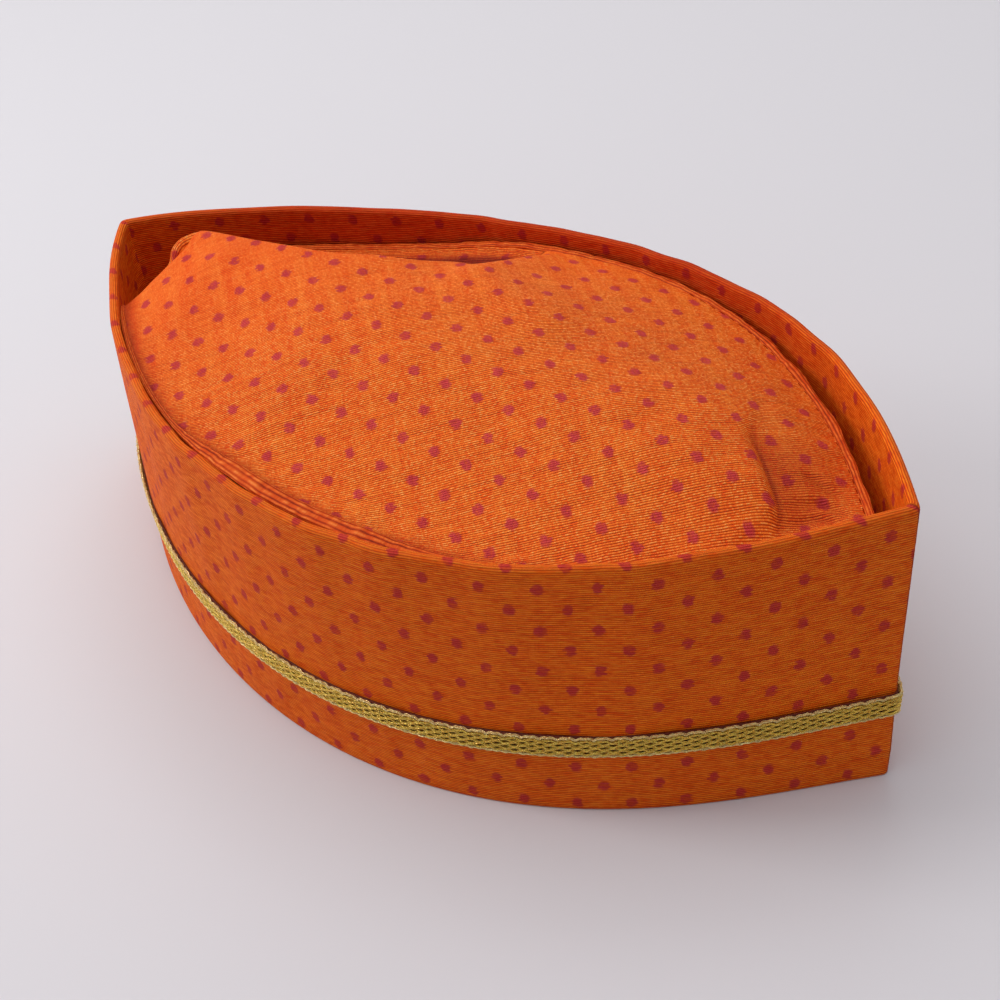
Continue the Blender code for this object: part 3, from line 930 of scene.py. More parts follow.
@dataclass
class OuterBand:
    """The stiff band: one strip of silk folded over at the rim, its two edges turned in at the foot."""

    plan: CapPlan
    stations: int = 300
    fine_stations: int = 4000
    crease_density: float = 4.0
    crease_reach: float = 3.0
    outer_rows: int = 46
    rim_rows: int = 12
    lining_rows: int = 12
    lining_rim_rows: int = 6
    lining_from: float = 0.006
    lining_lift: float = 1.4
    cloth_thickness: float = 0.00055
    crease_rounding: float = 0.0010
    deep_rounding: float = 0.0045
    deep_from: float = 0.0730
    deep_to: float = 0.0560
    hem_rounding: float = 0.0006
    hem_bevel: float = 0.3
    hem_gap: float = 0.00004
    ripple: float = 0.00018
    ripple_from: float = 0.010
    ripple_waves: Waves = Waves(seed=11, shortest=28.0, longest=110.0, grain=0.6)
    dot_along: float = 246.0
    dot_height: float = 57.67
    dot_lean: float = 0.23 / 6.076
    far_blend: float = 0.5
    far_dot_rise: float = 2.1
    far_dot_slope: float = 0.0060
    far_dot_from: float = 499.0
    far_dot_shifts: Knots = (
        (288.0, 0.6),
        (322.0, 0.6),
        (347.0, -0.6),
        (368.0, -3.0),
        (420.0, -1.3),
        (460.0, 0.4),
        (486.0, 1.0),
        (512.0, 2.2),
        (540.0, 4.1),
        (580.0, 7.0),
    )
    flat_width: float = 0.155

    def shares(self) -> np.ndarray:
        """Places along a wall.

        Returns:
            Shares from 0 to 1, closer together near the creases.
        """
        fine = np.linspace(0.0, 1.0, self.fine_stations + 1)
        away = np.minimum(fine, 1.0 - fine) * self.plan.wall_length / MM
        density = 1.0 + self.crease_density * np.exp(-((away / self.crease_reach) ** 2))
        total = np.concatenate([[0.0], np.cumsum((density[1:] + density[:-1]) / 2)])
        return np.interp(np.linspace(0.0, total[-1], self.stations + 1), total, fine)

    def section(self) -> list[tuple[float, float]]:
        """The strip's outer skin across the band.

        Returns:
            Insets and heights, from the foot's middle over the rim and back to it.
        """
        thick, high, turn = self.plan.thickness, self.plan.height, self.hem_rounding
        radius, bevel, split = thick / 2, turn * self.hem_bevel, self.hem_gap / 2
        path = [(radius - split, 0.0), (turn, 0.0), (bevel, bevel)]
        path += [(0.0, height) for height in np.linspace(turn, high - radius, self.outer_rows + 1)]
        for angle in np.linspace(math.pi, 0.0, self.rim_rows + 1)[1:-1]:
            path.append((radius + radius * math.cos(angle), high - radius + radius * math.sin(angle)))
        path += [(thick, height) for height in np.linspace(high - radius, turn, self.outer_rows + 1)]
        return path + [(thick - bevel, bevel), (thick - turn, 0.0), (radius + split, 0.0)]

    def lining(self) -> list[tuple[float, float]]:
        """The strip's hidden skin.

        Returns:
            Insets and heights, back from the end of the outer skin.
        """
        thick, high, cloth = self.plan.thickness, self.plan.height, self.cloth_thickness
        radius, low, split = thick / 2, cloth * self.lining_lift, self.hem_gap / 2
        inner = radius - cloth
        heights = np.linspace(self.lining_from, high - radius, self.lining_rows)
        path = [(radius + split, cloth), (thick - cloth, low)]
        path += [(thick - cloth, height) for height in heights]
        for angle in np.linspace(0.0, math.pi, self.lining_rim_rows + 1)[1:-1]:
            path.append((radius + inner * math.cos(angle), high - radius + inner * math.sin(angle)))
        path += [(cloth, height) for height in heights[::-1]]
        return path + [(cloth, low), (radius - split, cloth)]

    def on_cloth(self, u: np.ndarray, reach: np.ndarray) -> np.ndarray:
        """Places of the band's points on the flat cloth.

        Args:
            u: Distances round the band, in millimetres.
            reach: Distances across the strip, in millimetres.

        Returns:
            Places measured from a dot. The far wall's dots are shifted against the near wall's.
        """
        length = self.plan.wall_length / MM
        columns, rows = np.meshgrid(u, reach)
        far = smooth_step(length - self.far_blend, length + self.far_blend, columns)
        first, last = self.far_dot_shifts[0][0], self.far_dot_shifts[-1][0]
        shift = far * knot_curve(self.far_dot_shifts, np.clip(columns, first, last))
        rise = far * (self.far_dot_rise + self.far_dot_slope * (self.far_dot_from - columns))
        along = columns - shift - self.dot_along - self.dot_lean * (self.dot_height - rows)
        return np.stack([along, rows - self.dot_height + rise], axis=-1)

    def build(self, finish: bpy.types.Material) -> bpy.types.Object:
        """Make the band.

        Args:
            finish: The band's silk.

        Returns:
            The band's object.
        """
        shares = self.shares()
        path = self.section() + self.lining()
        reach = np.concatenate([[0.0], np.cumsum([math.dist(a, b) for a, b in zip(path, path[1:])])])
        reach = np.append(reach, reach[-1]) / MM
        reach -= reach[2] - self.hem_rounding / MM
        length = self.plan.wall_length / MM
        u = np.concatenate([shares, 2.0 - shares[-2::-1]]) * length
        rings = []
        for inset, height in path:
            depth = float(smooth_step(self.deep_from, self.deep_to, np.array(height)))
            depth *= inset > self.plan.thickness / 2
            rounding = self.crease_rounding + (self.deep_rounding - self.crease_rounding) * depth
            ring = self.plan.ring(height, inset, shares, rounding)
            shift = self.ripple_waves.at(np.cos(u[:-1] / length * math.pi) * length, height / MM)
            rings.append(inset_loop(ring, shift * self.ripple * smooth_step(0.0, self.ripple_from, height)))
        grid = ClothGrid(np.array(rings), self.on_cloth(u, reach), close_rows=True, close_columns=True)
        item = cloth_object("band_silk", [grid])
        dress(item, finish, "outer_band")
        return item


@dataclass
class CrownSide:
    """The crown's upright wall, from the foot of the band up to the seam."""

    plan: CapPlan
    thickness: float = 0.0009
    fit_gap: float = 0.0003
    foot: float = 0.0006
    crease_rounding: float = 0.0008
    foot_rounding: float = 0.0045
    welt_sink: float = 0.0011
    stations: int = 180
    thinning: int = 3
    rows: int = 26
    fold: float = 0.00025
    fold_waves: Waves = Waves(seed=23, shortest=9.0, longest=60.0, grain=0.25)
    fold_height: float = 60.0
    cloth_start: tuple[float, float] = (3.0, 2.0)
    flat: tuple[float, float] = (0.560, 0.072)

    def build(self, seam: np.ndarray, finish: bpy.types.Material) -> bpy.types.Object:
        """Make the wall.

        Args:
            seam: The crown's seam.
            finish: The wall's silk.

        Returns:
            The wall's object.
        """
        shares = np.linspace(0.0, 1.0, self.stations + 1)
        low = self.plan.ring(self.foot, self.plan.thickness + self.fit_gap, shares, self.crease_rounding)
        low = self.plan.rounded(low, self.foot_rounding)[:: self.thinning]
        high = inset_loop(seam, self.fit_gap, -self.welt_sink - self.fit_gap)[:: self.thinning]
        reach = loop_reach(high)
        rings, heights = [], []
        for inset, start, end in ((0.0, 0.0, 1.0), (self.thickness, 1.0, 0.0)):
            for share in np.linspace(start, end, self.rows):
                line = low + (high - low) * share
                fold = self.fold_waves.at(reach[:-1], share * self.fold_height)
                fold = fold * self.fold * math.sin(math.pi * share)
                rings.append(inset_loop(line, inset + np.maximum(fold, -self.fit_gap * 0.5)))
                heights.append(share * self.plan.height / MM)
        columns, rows = np.meshgrid(reach, np.array([*heights, heights[0]]))
        cloth = np.stack([columns + self.cloth_start[0], rows + self.cloth_start[1]], axis=-1)
        item = cloth_object("crown_wall", [ClothGrid(np.array(rings), cloth, True, True)])
        dress(item, finish, "crown_side")
        return item


class WeltPoint(NamedTuple):
    """A point of the ridge's section: how far in from the seam and how far above it, in millimetres."""

    inset: float
    lift: float


@dataclass
class SeamWelt:
    """The flat pinched edge of turned-in silk along the crown's seam, and the stitches inside it.

    Knots give a place round the seam and a value. Places run from 0 at the left tip along the near wall to 1
    at the right tip, and back along the far wall to 2.
    """

    profile: tuple[WeltPoint, ...] = (
        WeltPoint(0.05, -0.90),
        WeltPoint(0.00, -0.30),
        WeltPoint(0.10, 0.12),
        WeltPoint(0.45, 0.38),
        WeltPoint(1.00, 0.48),
        WeltPoint(1.60, 0.46),
        WeltPoint(2.10, 0.30),
        WeltPoint(2.40, 0.02),
        WeltPoint(2.45, -0.40),
        WeltPoint(2.20, -0.90),
        WeltPoint(1.20, -1.05),
        WeltPoint(0.50, -1.05),
    )
    full_width: float = 2.4
    crown_lap: float = 0.5
    outer_side: float = 1.4
    top_from: float = -0.3
    top_height: float = 0.8
    edge_bumps: Waves = Waves(5, 7.0, 17.0, 20)
    edge_wave: float = 0.34
    gap_share: float = 0.45
    top_bumps: Waves = Waves(6, 3.5, 9.0, 20)
    lumps: float = 0.09
    stitch_pull: float = 0.04
    width_knots: Knots = (
        (0.00, 1.00),
        (0.03, 0.42),
        (0.34, 0.44),
        (0.46, 1.60),
        (0.58, 1.60),
        (0.76, 1.00),
        (2.00, 1.00),
    )
    lift_knots: Knots = (
        (0.00, 0.0),
        (0.11, 0.0),
        (0.14, 1.0),
        (0.34, 1.6),
        (0.46, 3.0),
        (0.56, 3.0),
        (0.70, 1.2),
        (0.82, 0.0),
        (2.00, 0.0),
    )
    snug_gap: float = 0.14
    snug_wave: float = 0.05
    snug_from: tuple[float, float] = (0.02, 0.08)
    snug_to: tuple[float, float] = (0.60, 0.70)
    groove_at: float = 1.0
    groove_width: float = 0.5
    groove_depth: float = 0.42
    groove_to: tuple[float, float] = (0.36, 0.46)
    rib_step: float = 0.4
    stitch_pitch: float = 3.3
    stitch_length: float = 2.3
    stitch_radius: float = 0.19
    stitch_flatness: float = 0.8
    stitch_sides: int = 8
    stitch_rings: int = 6
    stitch_aim: float = 0.5
    stitch_inset: float = 2.40
    stitch_lift: float = 0.12
    stitched: tuple[float, float] = (0.86, 1.40)

    def crown_edge(self, seam: np.ndarray) -> np.ndarray:
        """The line that the crown's top starts from, a little under the ridge's inner edge."""
        width = self.full_width * knot_curve(self.width_knots, even_shares(len(seam)))
        return inset_loop(seam, (width - self.crown_lap) * MM)

    def lifts(self, count: int) -> np.ndarray:
        """How far the ridge is pushed up between the near wall and the puffed top, in millimetres."""
        return knot_curve(self.lift_knots, even_shares(count))

    def gap(self, share: np.ndarray) -> np.ndarray:
        """Air gap to the band.

        Args:
            share: Places round the seam.

        Returns:
            The gaps in millimetres.
        """
        knots = column(SEAM_ROWS, "along")
        near = smooth_through(knots, column(SEAM_ROWS, "near_gap"), np.minimum(share, 1.0))
        far = smooth_through(knots, column(SEAM_ROWS, "far_gap"), np.clip(2.0 - share, 0.0, 1.0))
        return np.where(share <= 1.0, near, far) / MM

    def build(self, seam: np.ndarray, finish: bpy.types.Material) -> bpy.types.Object:
        """Make the ridge: pressed to the near wall, pinched into two thin ones there, wavy elsewhere.

        Args:
            seam: The crown's seam.
            finish: The ridge's silk.

        Returns:
            The ridge's object.
        """
        line = seam[::2]
        reach, share = loop_reach(line), even_shares(len(line))
        turn = math.tau * reach[:-1] / reach[-1]
        ring = [side * reach[-1] / math.tau for side in (np.cos(turn), np.sin(turn))]
        bumps, lumps = self.edge_bumps.at(*ring), self.top_bumps.at(*ring)
        pull = np.cos(math.tau * reach[:-1] / self.stitch_pitch)
        snug = smooth_step(*self.snug_from, share) * (1.0 - smooth_step(*self.snug_to, share))
        gap = self.gap(share)
        room = np.minimum(self.edge_wave, gap * self.gap_share) * (1.0 - snug) + self.snug_wave * snug
        out = np.clip(bumps, -1.0, 1.0) * room + np.maximum(gap - self.snug_gap, 0.0) * snug
        widths, lifts = knot_curve(self.width_knots, share), self.lifts(len(line))
        groove = self.groove_depth * (1.0 - smooth_step(*self.groove_to, share))
        rings = []
        for inset, lift in self.profile:
            outer = max(0.0, 1.0 - inset / self.outer_side)
            top = max(0.0, lift - self.top_from) / self.top_height
            rise = (lumps * self.lumps - pull * self.stitch_pull) * top
            pinch = groove * max(0.0, 1.0 - abs(inset - self.groove_at) / self.groove_width) * (lift > 0.0)
            inwards = inset * widths - out * outer
            rings.append(inset_loop(line, inwards * MM, (lift + rise - pinch + lifts) * MM))
        columns, rows = np.meshgrid(reach, np.arange(len(rings) + 1) * self.rib_step)
        cloth = np.stack([columns, rows], axis=-1)
        item = cloth_object("seam_ridge", [ClothGrid(np.array(rings), cloth, True, True)])
        dress(item, finish, "seam_welt")
        return item

    def stitches(self, seam: np.ndarray, thread: bpy.types.Material) -> bpy.types.Object:
        """Make the row of stitches just inside the ridge.

        Args:
            seam: The crown's seam.
            thread: The stitches' thread.

        Returns:
            One object with every stitch.
        """
        line = inset_loop(seam, self.stitch_inset * MM, self.stitch_lift * MM)
        reach = loop_reach(line)
        closed = np.vstack([line, line[:1]])
        first_at, last_at = (share / 2 * reach[-1] for share in self.stitched)
        bpy.ops.object.select_all(action="DESELECT")
        bpy.ops.mesh.primitive_uv_sphere_add(
            segments=self.stitch_sides, ring_count=self.stitch_rings, radius=self.stitch_radius * MM
        )
        first = bpy.context.active_object
        longer = self.stitch_length / self.stitch_radius / 2
        bpy.ops.transform.resize(value=(longer, 1.0, self.stitch_flatness))
        bpy.ops.object.transform_apply(location=False, rotation=False, scale=True)
        bpy.ops.object.shade_smooth()
        copies = [first]
        for number in range(round((last_at - first_at) / self.stitch_pitch)):
            at = first_at + (number + 0.5) * self.stitch_pitch
            spot, ahead = (
                Vector([np.interp(place, reach, closed[:, k]) for k in range(3)])
                for place in (at, at + self.stitch_aim)
            )
            stitch = first
            if number:
                stitch = bpy.data.objects.new("stitch", first.data.copy())
                bpy.context.scene.collection.objects.link(stitch)
                copies.append(stitch)
            stitch.location = spot
            stitch.rotation_euler = (ahead - spot).to_track_quat("X", "Z").to_euler()
        bpy.ops.object.select_all(action="DESELECT")
        for stitch in copies:
            stitch.select_set(True)
        bpy.context.view_layer.objects.active = first
        bpy.ops.object.join()
        bpy.ops.object.transform_apply(location=True, rotation=True, scale=True)
        first.name = "seam_stitches"
        dress(first, thread)
        return first


@dataclass(frozen=True)
class Crease:
    """A valley or a soft ridge in a sheet: its line in plan, its rise and its widths to left and right."""

    line: Knots
    rise: float
    left: float
    right: float
    steps_per_knot: int = 24
    taper_from: float = 0.04
    taper: float = 0.6

    def at(self, x: np.ndarray, y: np.ndarray) -> np.ndarray:
        """Rise at places in plan.

        Args:
            x: First coordinates, in millimetres.
            y: Second coordinates.

        Returns:
            The rises, in millimetres.
        """
        knots = np.arange(len(self.line), dtype=float)
        where = np.linspace(0.0, knots[-1], self.steps_per_knot * len(self.line))
        path_x, path_y = (smooth_through(knots, values, where) for values in zip(*self.line))
        ahead_x, ahead_y = np.gradient(path_x), np.gradient(path_y)
        step = np.hypot(ahead_x, ahead_y)
        gap_x = x.ravel()[:, None] - path_x
        gap_y = y.ravel()[:, None] - path_y
        nearest = np.hypot(gap_x, gap_y).argmin(axis=1)
        pick = np.arange(len(nearest))
        gap_x, gap_y = gap_x[pick, nearest], gap_y[pick, nearest]
        side = (ahead_x[nearest] * gap_y - ahead_y[nearest] * gap_x) / step[nearest]
        away = np.hypot(gap_x, gap_y) / np.where(side > 0.0, self.left, self.right)
        share = np.clip(nearest / (len(where) - 1), self.taper_from, 1.0 - self.taper_from)
        taper = np.sin(math.pi * share) ** self.taper
        return (self.rise * np.exp(-(away**2)) * taper).reshape(x.shape)


@dataclass
class CrownTop:
    """The puffed top panel, one lens of silk sewn in along the seam."""

    plan: CapPlan
    thickness: float = 0.0008
    sections_per_row: int = 14
    steps: tuple[int, ...] = (62, 16, 14, 34)
    crest_at: float = 0.50
    slope_at: float = 0.25
    folded_at: float = -0.004
    rim_steps: int = 3
    right_valley: Crease = Crease(
        ((75.0, 19.0), (77.0, 15.6), (81.6, 11.9), (86.1, 8.1), (90.2, 4.6), (93.3, 1.3), (96.0, -3.5)),
        rise=-2.4,
        left=9.0,
        right=1.4,
    )
    wrinkles: tuple[Crease, ...] = (
        Crease(((90.6, 14.0), (95.2, 14.9), (101.6, 14.8)), -0.7, 1.2, 1.6),
        Crease(((95.0, 7.0), (99.1, 10.7), (104.9, 11.4)), -0.8, 1.2, 1.6),
        Crease(((96.0, 1.4), (100.3, 6.7), (106.0, 8.5)), -0.7, 1.1, 1.5),
        Crease(((60.0, 44.0), (72.0, 33.0), (80.0, 24.0)), 0.35, 4.0, 3.0),
    )
    swell: float = 0.20
    swell_waves: Waves = Waves(31, 16.0, 60.0, 24)
    swell_from: tuple[float, float] = (4.0, 16.0)
    pucker: float = 0.20
    pucker_waves: Waves = Waves(32, 4.5, 12.0, 24)
    pucker_reach: float = 6.0
    held_edge: float = 1.6
    lift_reach: float = 3.5
    valley_line: float = 0.42
    valley_side: float = 0.27
    valley_widths: tuple[float, float] = (0.5, 0.8)
    valley_reach: float = 18.0
    wrinkle_line: float = 0.14
    strip_shade: float = 0.12
    strip_depth: float = 0.60
    strip_from: tuple[float, float] = (2.4, 5.5)
    strip_to: tuple[float, float] = (7.0, 14.0)
    strip_start: float = 1.8
    strip_width: float = 9.0
    edge_band: float = 0.16
    edge_band_width: float = 4.0
    edge_band_to: tuple[float, float] = (-80.0, -40.0)
    edge_line: float = 0.55
    edge_line_width: float = 1.3
    left_dim: float = 0.07
    left_dim_to: tuple[float, float] = (-80.0, 0.0)
    cloth_start: tuple[float, float] = (32.70, -69.71)
    cloth_along: tuple[float, float] = (-0.6550, -0.7831)
    cloth_across: tuple[float, float] = (0.7534, -0.6552)
    flat: tuple[float, float] = (0.240, 0.135)
    area: float = 0.0240

    def surface(self, seam: np.ndarray) -> tuple[np.ndarray, np.ndarray, np.ndarray]:
        """Even grid over the crown's top, sections by steps across, and how it lies behind the back fold.

        Args:
            seam: The line that the panel's edge follows.

        Returns:
            The grid's points, for each of them 1 behind the fold and 0 before it, and how far the steep
            cloth there runs on past its place in plan.
        """
        half = len(seam) // 2
        share = np.linspace(0.0, 1.0, half + 1)
        near_edge = seam[: half + 1]
        far_edge = np.vstack([seam[:1], seam[: half - 1 : -1]])
        rows = np.arange(len(CROWN_ROWS))
        where = np.linspace(0, rows[-1], rows[-1] * self.sections_per_row + 1)
        table = {name: smooth_through(rows, column(CROWN_ROWS, name), where) for name in CrownRow._fields}
        grid, behind, slack = [], [], []
        for k in range(len(where)):
            row = {name: values[k] for name, values in table.items()}
            start = np.array([np.interp(row["near"], share, near_edge[:, axis]) for axis in range(3)])
            end = np.array([np.interp(row["far"], share, far_edge[:, axis]) for axis in range(3)])
            stops = (0.0, self.crest_at, row["edge_at"], row["foot_at"], 1.0)
            parts = zip(stops, stops[1:], self.steps)
            across = [np.linspace(low, high, count, endpoint=False) for low, high, count in parts]
            across = np.concatenate([*across, [1.0]])
            knots = (0.0, self.slope_at, *stops[1:])
            rises = (0.0, row["slope"], row["crest"], row["edge"], row["foot"], 0.0)
            line = start[None, :] + across[:, None] * (end - start)[None, :]
            line[:, 2] += smooth_through(knots, rises, across)
            grid.append(line)
            folded = smooth_step(0.0, self.folded_at, row["foot"])
            behind.append(smooth_step(row["edge_at"], row["foot_at"], across) * folded)
            steps = np.diff(line, axis=0)
            extra = np.linalg.norm(steps, axis=1) - np.linalg.norm(steps[:, :2], axis=1)
            extra = np.concatenate([[0.0], np.cumsum(extra * (across[1:] > row["edge_at"]))])
            ahead = (end - start)[:2] / max(float(np.linalg.norm((end - start)[:2])), MERGE_DISTANCE)
            slack.append(extra[:, None] * ahead)
        return np.array(grid), np.array(behind), np.array(slack)

    def to_seam(self, grid: np.ndarray, seam: np.ndarray) -> tuple[np.ndarray, np.ndarray]:
        """How far the grid's points lie from the seam.

        Args:
            grid: The surface.
            seam: The line that the panel's edge follows.

        Returns:
            Plan distances in millimetres, and the number of the seam's nearest point to each.
        """
        edge = seam[::2, :2]
        x, y = (grid[:, :, axis].ravel()[:, None] - edge[:, axis] for axis in range(2))
        gaps = np.hypot(x, y)
        shape = grid.shape[:2]
        return gaps.min(axis=1).reshape(shape) / MM, gaps.argmin(axis=1).reshape(shape) * 2

    def unevenness(self, grid: np.ndarray, away: np.ndarray, near_lift: np.ndarray) -> np.ndarray:
        """Rises and dents of the soft panel: creases, puckers along its edge and a slow swell.

        Args:
            grid: The even surface.
            away: Distance to the seam, in millimetres.
            near_lift: How far the nearest part of the seam is pushed up, in millimetres.

        Returns:
            Rises in millimetres.
        """
        x, y = grid[:, :, 0] / MM, grid[:, :, 1] / MM
        total = sum(crease.at(x, y) for crease in (self.right_valley, *self.wrinkles))
        total = total + self.swell_waves.at(x, y) * self.swell * smooth_step(*self.swell_from, away)
        total = total + self.pucker_waves.at(x, y) * self.pucker * np.exp(-away / self.pucker_reach)
        return total * smooth_step(0.0, self.held_edge, away) + near_lift * np.exp(-away / self.lift_reach)

    def shades(self, grid: np.ndarray, away: np.ndarray, near: np.ndarray, behind: np.ndarray) -> np.ndarray:
        """Share of light that reaches the silk beside creases and tucked edges.

        Args:
            grid: The surface.
            away: Distance to the seam, in millimetres.
            near: Whether the nearest part of the seam is on the near wall.
            behind: 1 behind the back fold and 0 before it.

        Returns:
            Shares from 0 to 1.
        """
        x, y = grid[:, :, 0] / MM, grid[:, :, 1] / MM
        right, left = self.valley_widths
        line = replace(self.right_valley, rise=1.0, left=left, right=right)
        slope = replace(line, left=self.valley_reach)
        shade = (1.0 - self.valley_line * line.at(x, y)) * (1.0 - self.valley_side * slope.at(x, y))
        for wrinkle in self.wrinkles:
            dent = replace(wrinkle, rise=float(wrinkle.rise < 0.0))
            shade = shade * (1.0 - self.wrinkle_line * dent.at(x, y))
        deep = smooth_step(*self.strip_from, away) * (1.0 - smooth_step(*self.strip_to, away))
        shade = shade * (1.0 - (self.strip_shade + self.strip_depth * deep) * behind)
        shade = shade * (1.0 - self.left_dim * (1.0 - smooth_step(*self.left_dim_to, x)))
        band = near * (1.0 - smooth_step(*self.edge_band_to, x))
        band = band * np.exp(-((away / self.edge_band_width) ** 2))
        edge = near * (1.0 - behind) * np.exp(-away / self.edge_line_width)
        return shade * (1.0 - self.edge_band * band) * (1.0 - self.edge_line * edge)

    def underside(self, grid: np.ndarray) -> np.ndarray:
        """The panel's lower skin.

        Args:
            grid: The upper skin.

        Returns:
            The grid moved in by the thickness, along its normals inside and straight down at its rim.
        """
        normals = np.cross(np.gradient(grid, axis=0), np.gradient(grid, axis=1))
        normals[:, :, 2] += MERGE_DISTANCE**2
        normals /= np.linalg.norm(normals, axis=2)[:, :, None]
        steps = [np.minimum(np.arange(count), np.arange(count)[::-1]) for count in grid.shape[:2]]
        inner = np.minimum.outer(steps[0], steps[1]) / self.rim_steps
        normals[:, :, :2] *= np.minimum(inner, 1.0)[:, :, None]
        normals /= np.linalg.norm(normals, axis=2)[:, :, None]
        return grid - normals * self.thickness

    def on_cloth(
        self, grid: np.ndarray, slack: np.ndarray, behind: np.ndarray, away: np.ndarray, reach: np.ndarray
    ) -> np.ndarray:
        """Places of the grid's points on the flat cloth; beside the seam behind the back fold its ribs turn.

        Args:
            grid: The surface.
            slack: How far the steep cloth runs on past its place in plan.
            behind: 1 behind the back fold and 0 before it.
            away: Distance to the seam, in millimetres.
            reach: Distance along the seam of its nearest point, in millimetres.

        Returns:
            Places in millimetres.
        """
        x = (grid[:, :, 0] + slack[:, :, 0] - self.plan.origin.real) / MM
        y = (grid[:, :, 1] + slack[:, :, 1] - self.plan.origin.imag) / MM
        along = self.cloth_start[0] + self.cloth_along[0] * x + self.cloth_along[1] * y
        across = self.cloth_start[1] + self.cloth_across[0] * x + self.cloth_across[1] * y
        turned = (behind > 0.5) & (away < self.strip_width)
        along, across = np.where(turned, reach, along), np.where(turned, away + self.strip_start, across)
        return np.stack([along, across], axis=-1)

    def build(self, seam: np.ndarray, lifts: np.ndarray, finish: bpy.types.Material) -> bpy.types.Object:
        """Make the panel.

        Args:
            seam: The line that the panel's edge follows.
            lifts: How far the edge is pushed up, in millimetres.
            finish: The panel's silk.

        Returns:
            The panel's object.
        """
        upper, behind, slack = self.surface(seam)
        away, nearest = self.to_seam(upper, seam)
        upper[:, :, 2] += self.unevenness(upper, away, lifts[nearest]) * MM
        under = self.underside(upper)
        cloth = self.on_cloth(upper, slack, behind, away, loop_reach(seam)[nearest])
        shade = self.shades(upper, away, nearest < len(seam) // 2, behind)
        grids = [ClothGrid(upper, cloth, shade=shade)]
        grids.append(ClothGrid(under[:, ::-1], cloth[:, ::-1], shade=shade[:, ::-1]))
        for number, order in ((0, (under, upper)), (-1, (upper, under))):
            pair = np.stack([skin[:, number] for skin in order], axis=1)
            place, dim = (np.stack([values[:, number]] * 2, axis=1) for values in (cloth, shade))
            grids.append(ClothGrid(pair, place, shade=dim))
        item = cloth_object("crown_puff", grids, weld=True)
        dress(item, finish, "crown_top")
        return item


class RollPoint(NamedTuple):
    """A point on the middle of the roll and its half width and half height there, in millimetres."""

    x: float
    y: float
    z: float
    wide: float
    high: float


@dataclass
class FoldRoll:
    """The small roll of slack silk behind the crown's folded left end."""

    points: tuple[RollPoint, ...] = (
        RollPoint(-89.4, -18.0, 67.5, 0.4, 0.8),
        RollPoint(-90.6, -13.4, 69.8, 0.7, 1.5),
        RollPoint(-90.8, -8.6, 71.2, 0.9, 1.8),
        RollPoint(-91.0, -4.8, 72.4, 1.3, 2.6),
        RollPoint(-91.2, -2.4, 74.8, 1.9, 3.2),
        RollPoint(-90.8, 0.6, 75.8, 2.1, 3.3),
        RollPoint(-90.2, 4.4, 75.6, 2.1, 3.2),
        RollPoint(-88.8, 8.4, 74.4, 1.8, 2.7),
        RollPoint(-85.5, 12.0, 71.4, 1.1, 1.6),
    )
    steps: int = 90
    sides: int = 20
    bluntness: int = 8
    end_size: float = 0.0004
    rib_step: float = 0.6
    cloth_start: tuple[float, float] = (3.0, 2.0)

    def build(self, finish: bpy.types.Material) -> bpy.types.Object:
        """Make the roll.

        Args:
            finish: The roll's silk.

        Returns:
            The roll's object.
        """
        knots = np.arange(len(self.points), dtype=float)
        where = np.linspace(0.0, knots[-1], self.steps)
        table = {name: smooth_through(knots, column(self.points, name), where) for name in RollPoint._fields}
        middle = np.stack([table["x"], table["y"], table["z"]], axis=1) * MM
        ahead = np.gradient(middle, axis=0)
        across = np.stack([-ahead[:, 1], ahead[:, 0], np.zeros(self.steps)], axis=1)
        across /= np.linalg.norm(across, axis=1)[:, None]
        ends = (2.0 * where / knots[-1] - 1.0) ** self.bluntness
        close = np.sqrt(np.clip(1.0 - ends, self.end_size, 1.0))
        rings = []
        for angle in math.tau * np.arange(self.sides) / self.sides:
            ring = middle + across * (table["wide"] * close * math.cos(angle) * MM)[:, None]
            ring[:, 2] += table["high"] * close * math.sin(angle) * MM
            rings.append(ring)
        reach = np.concatenate([[0.0], np.cumsum(np.linalg.norm(np.diff(middle, axis=0), axis=1))]) / MM
        columns, rows = np.meshgrid(reach, np.arange(self.sides + 1) * self.rib_step)
        cloth = np.stack([columns + self.cloth_start[0], rows + self.cloth_start[1]], axis=-1)
        grids = [ClothGrid(np.array(rings), cloth, True, False)]
        for end in (0, -1):
            pair = [np.repeat(middle[end][None, :], self.sides, axis=0), grids[0].points[:, end]]
            pair = np.stack(pair if end == 0 else pair[::-1], axis=1)
            grids.append(ClothGrid(pair, np.zeros((self.sides + 1, 2, 2)), True, False))
        item = cloth_object("fold_roll", grids, weld=True)
        dress(item, finish)
        return item


class BraidThread(NamedTuple):
    """One thread of the braid: its height in the braid, its wave and its section, in millimetres."""

    height: float
    wave: float
    start: float
    width: float
    depth: float


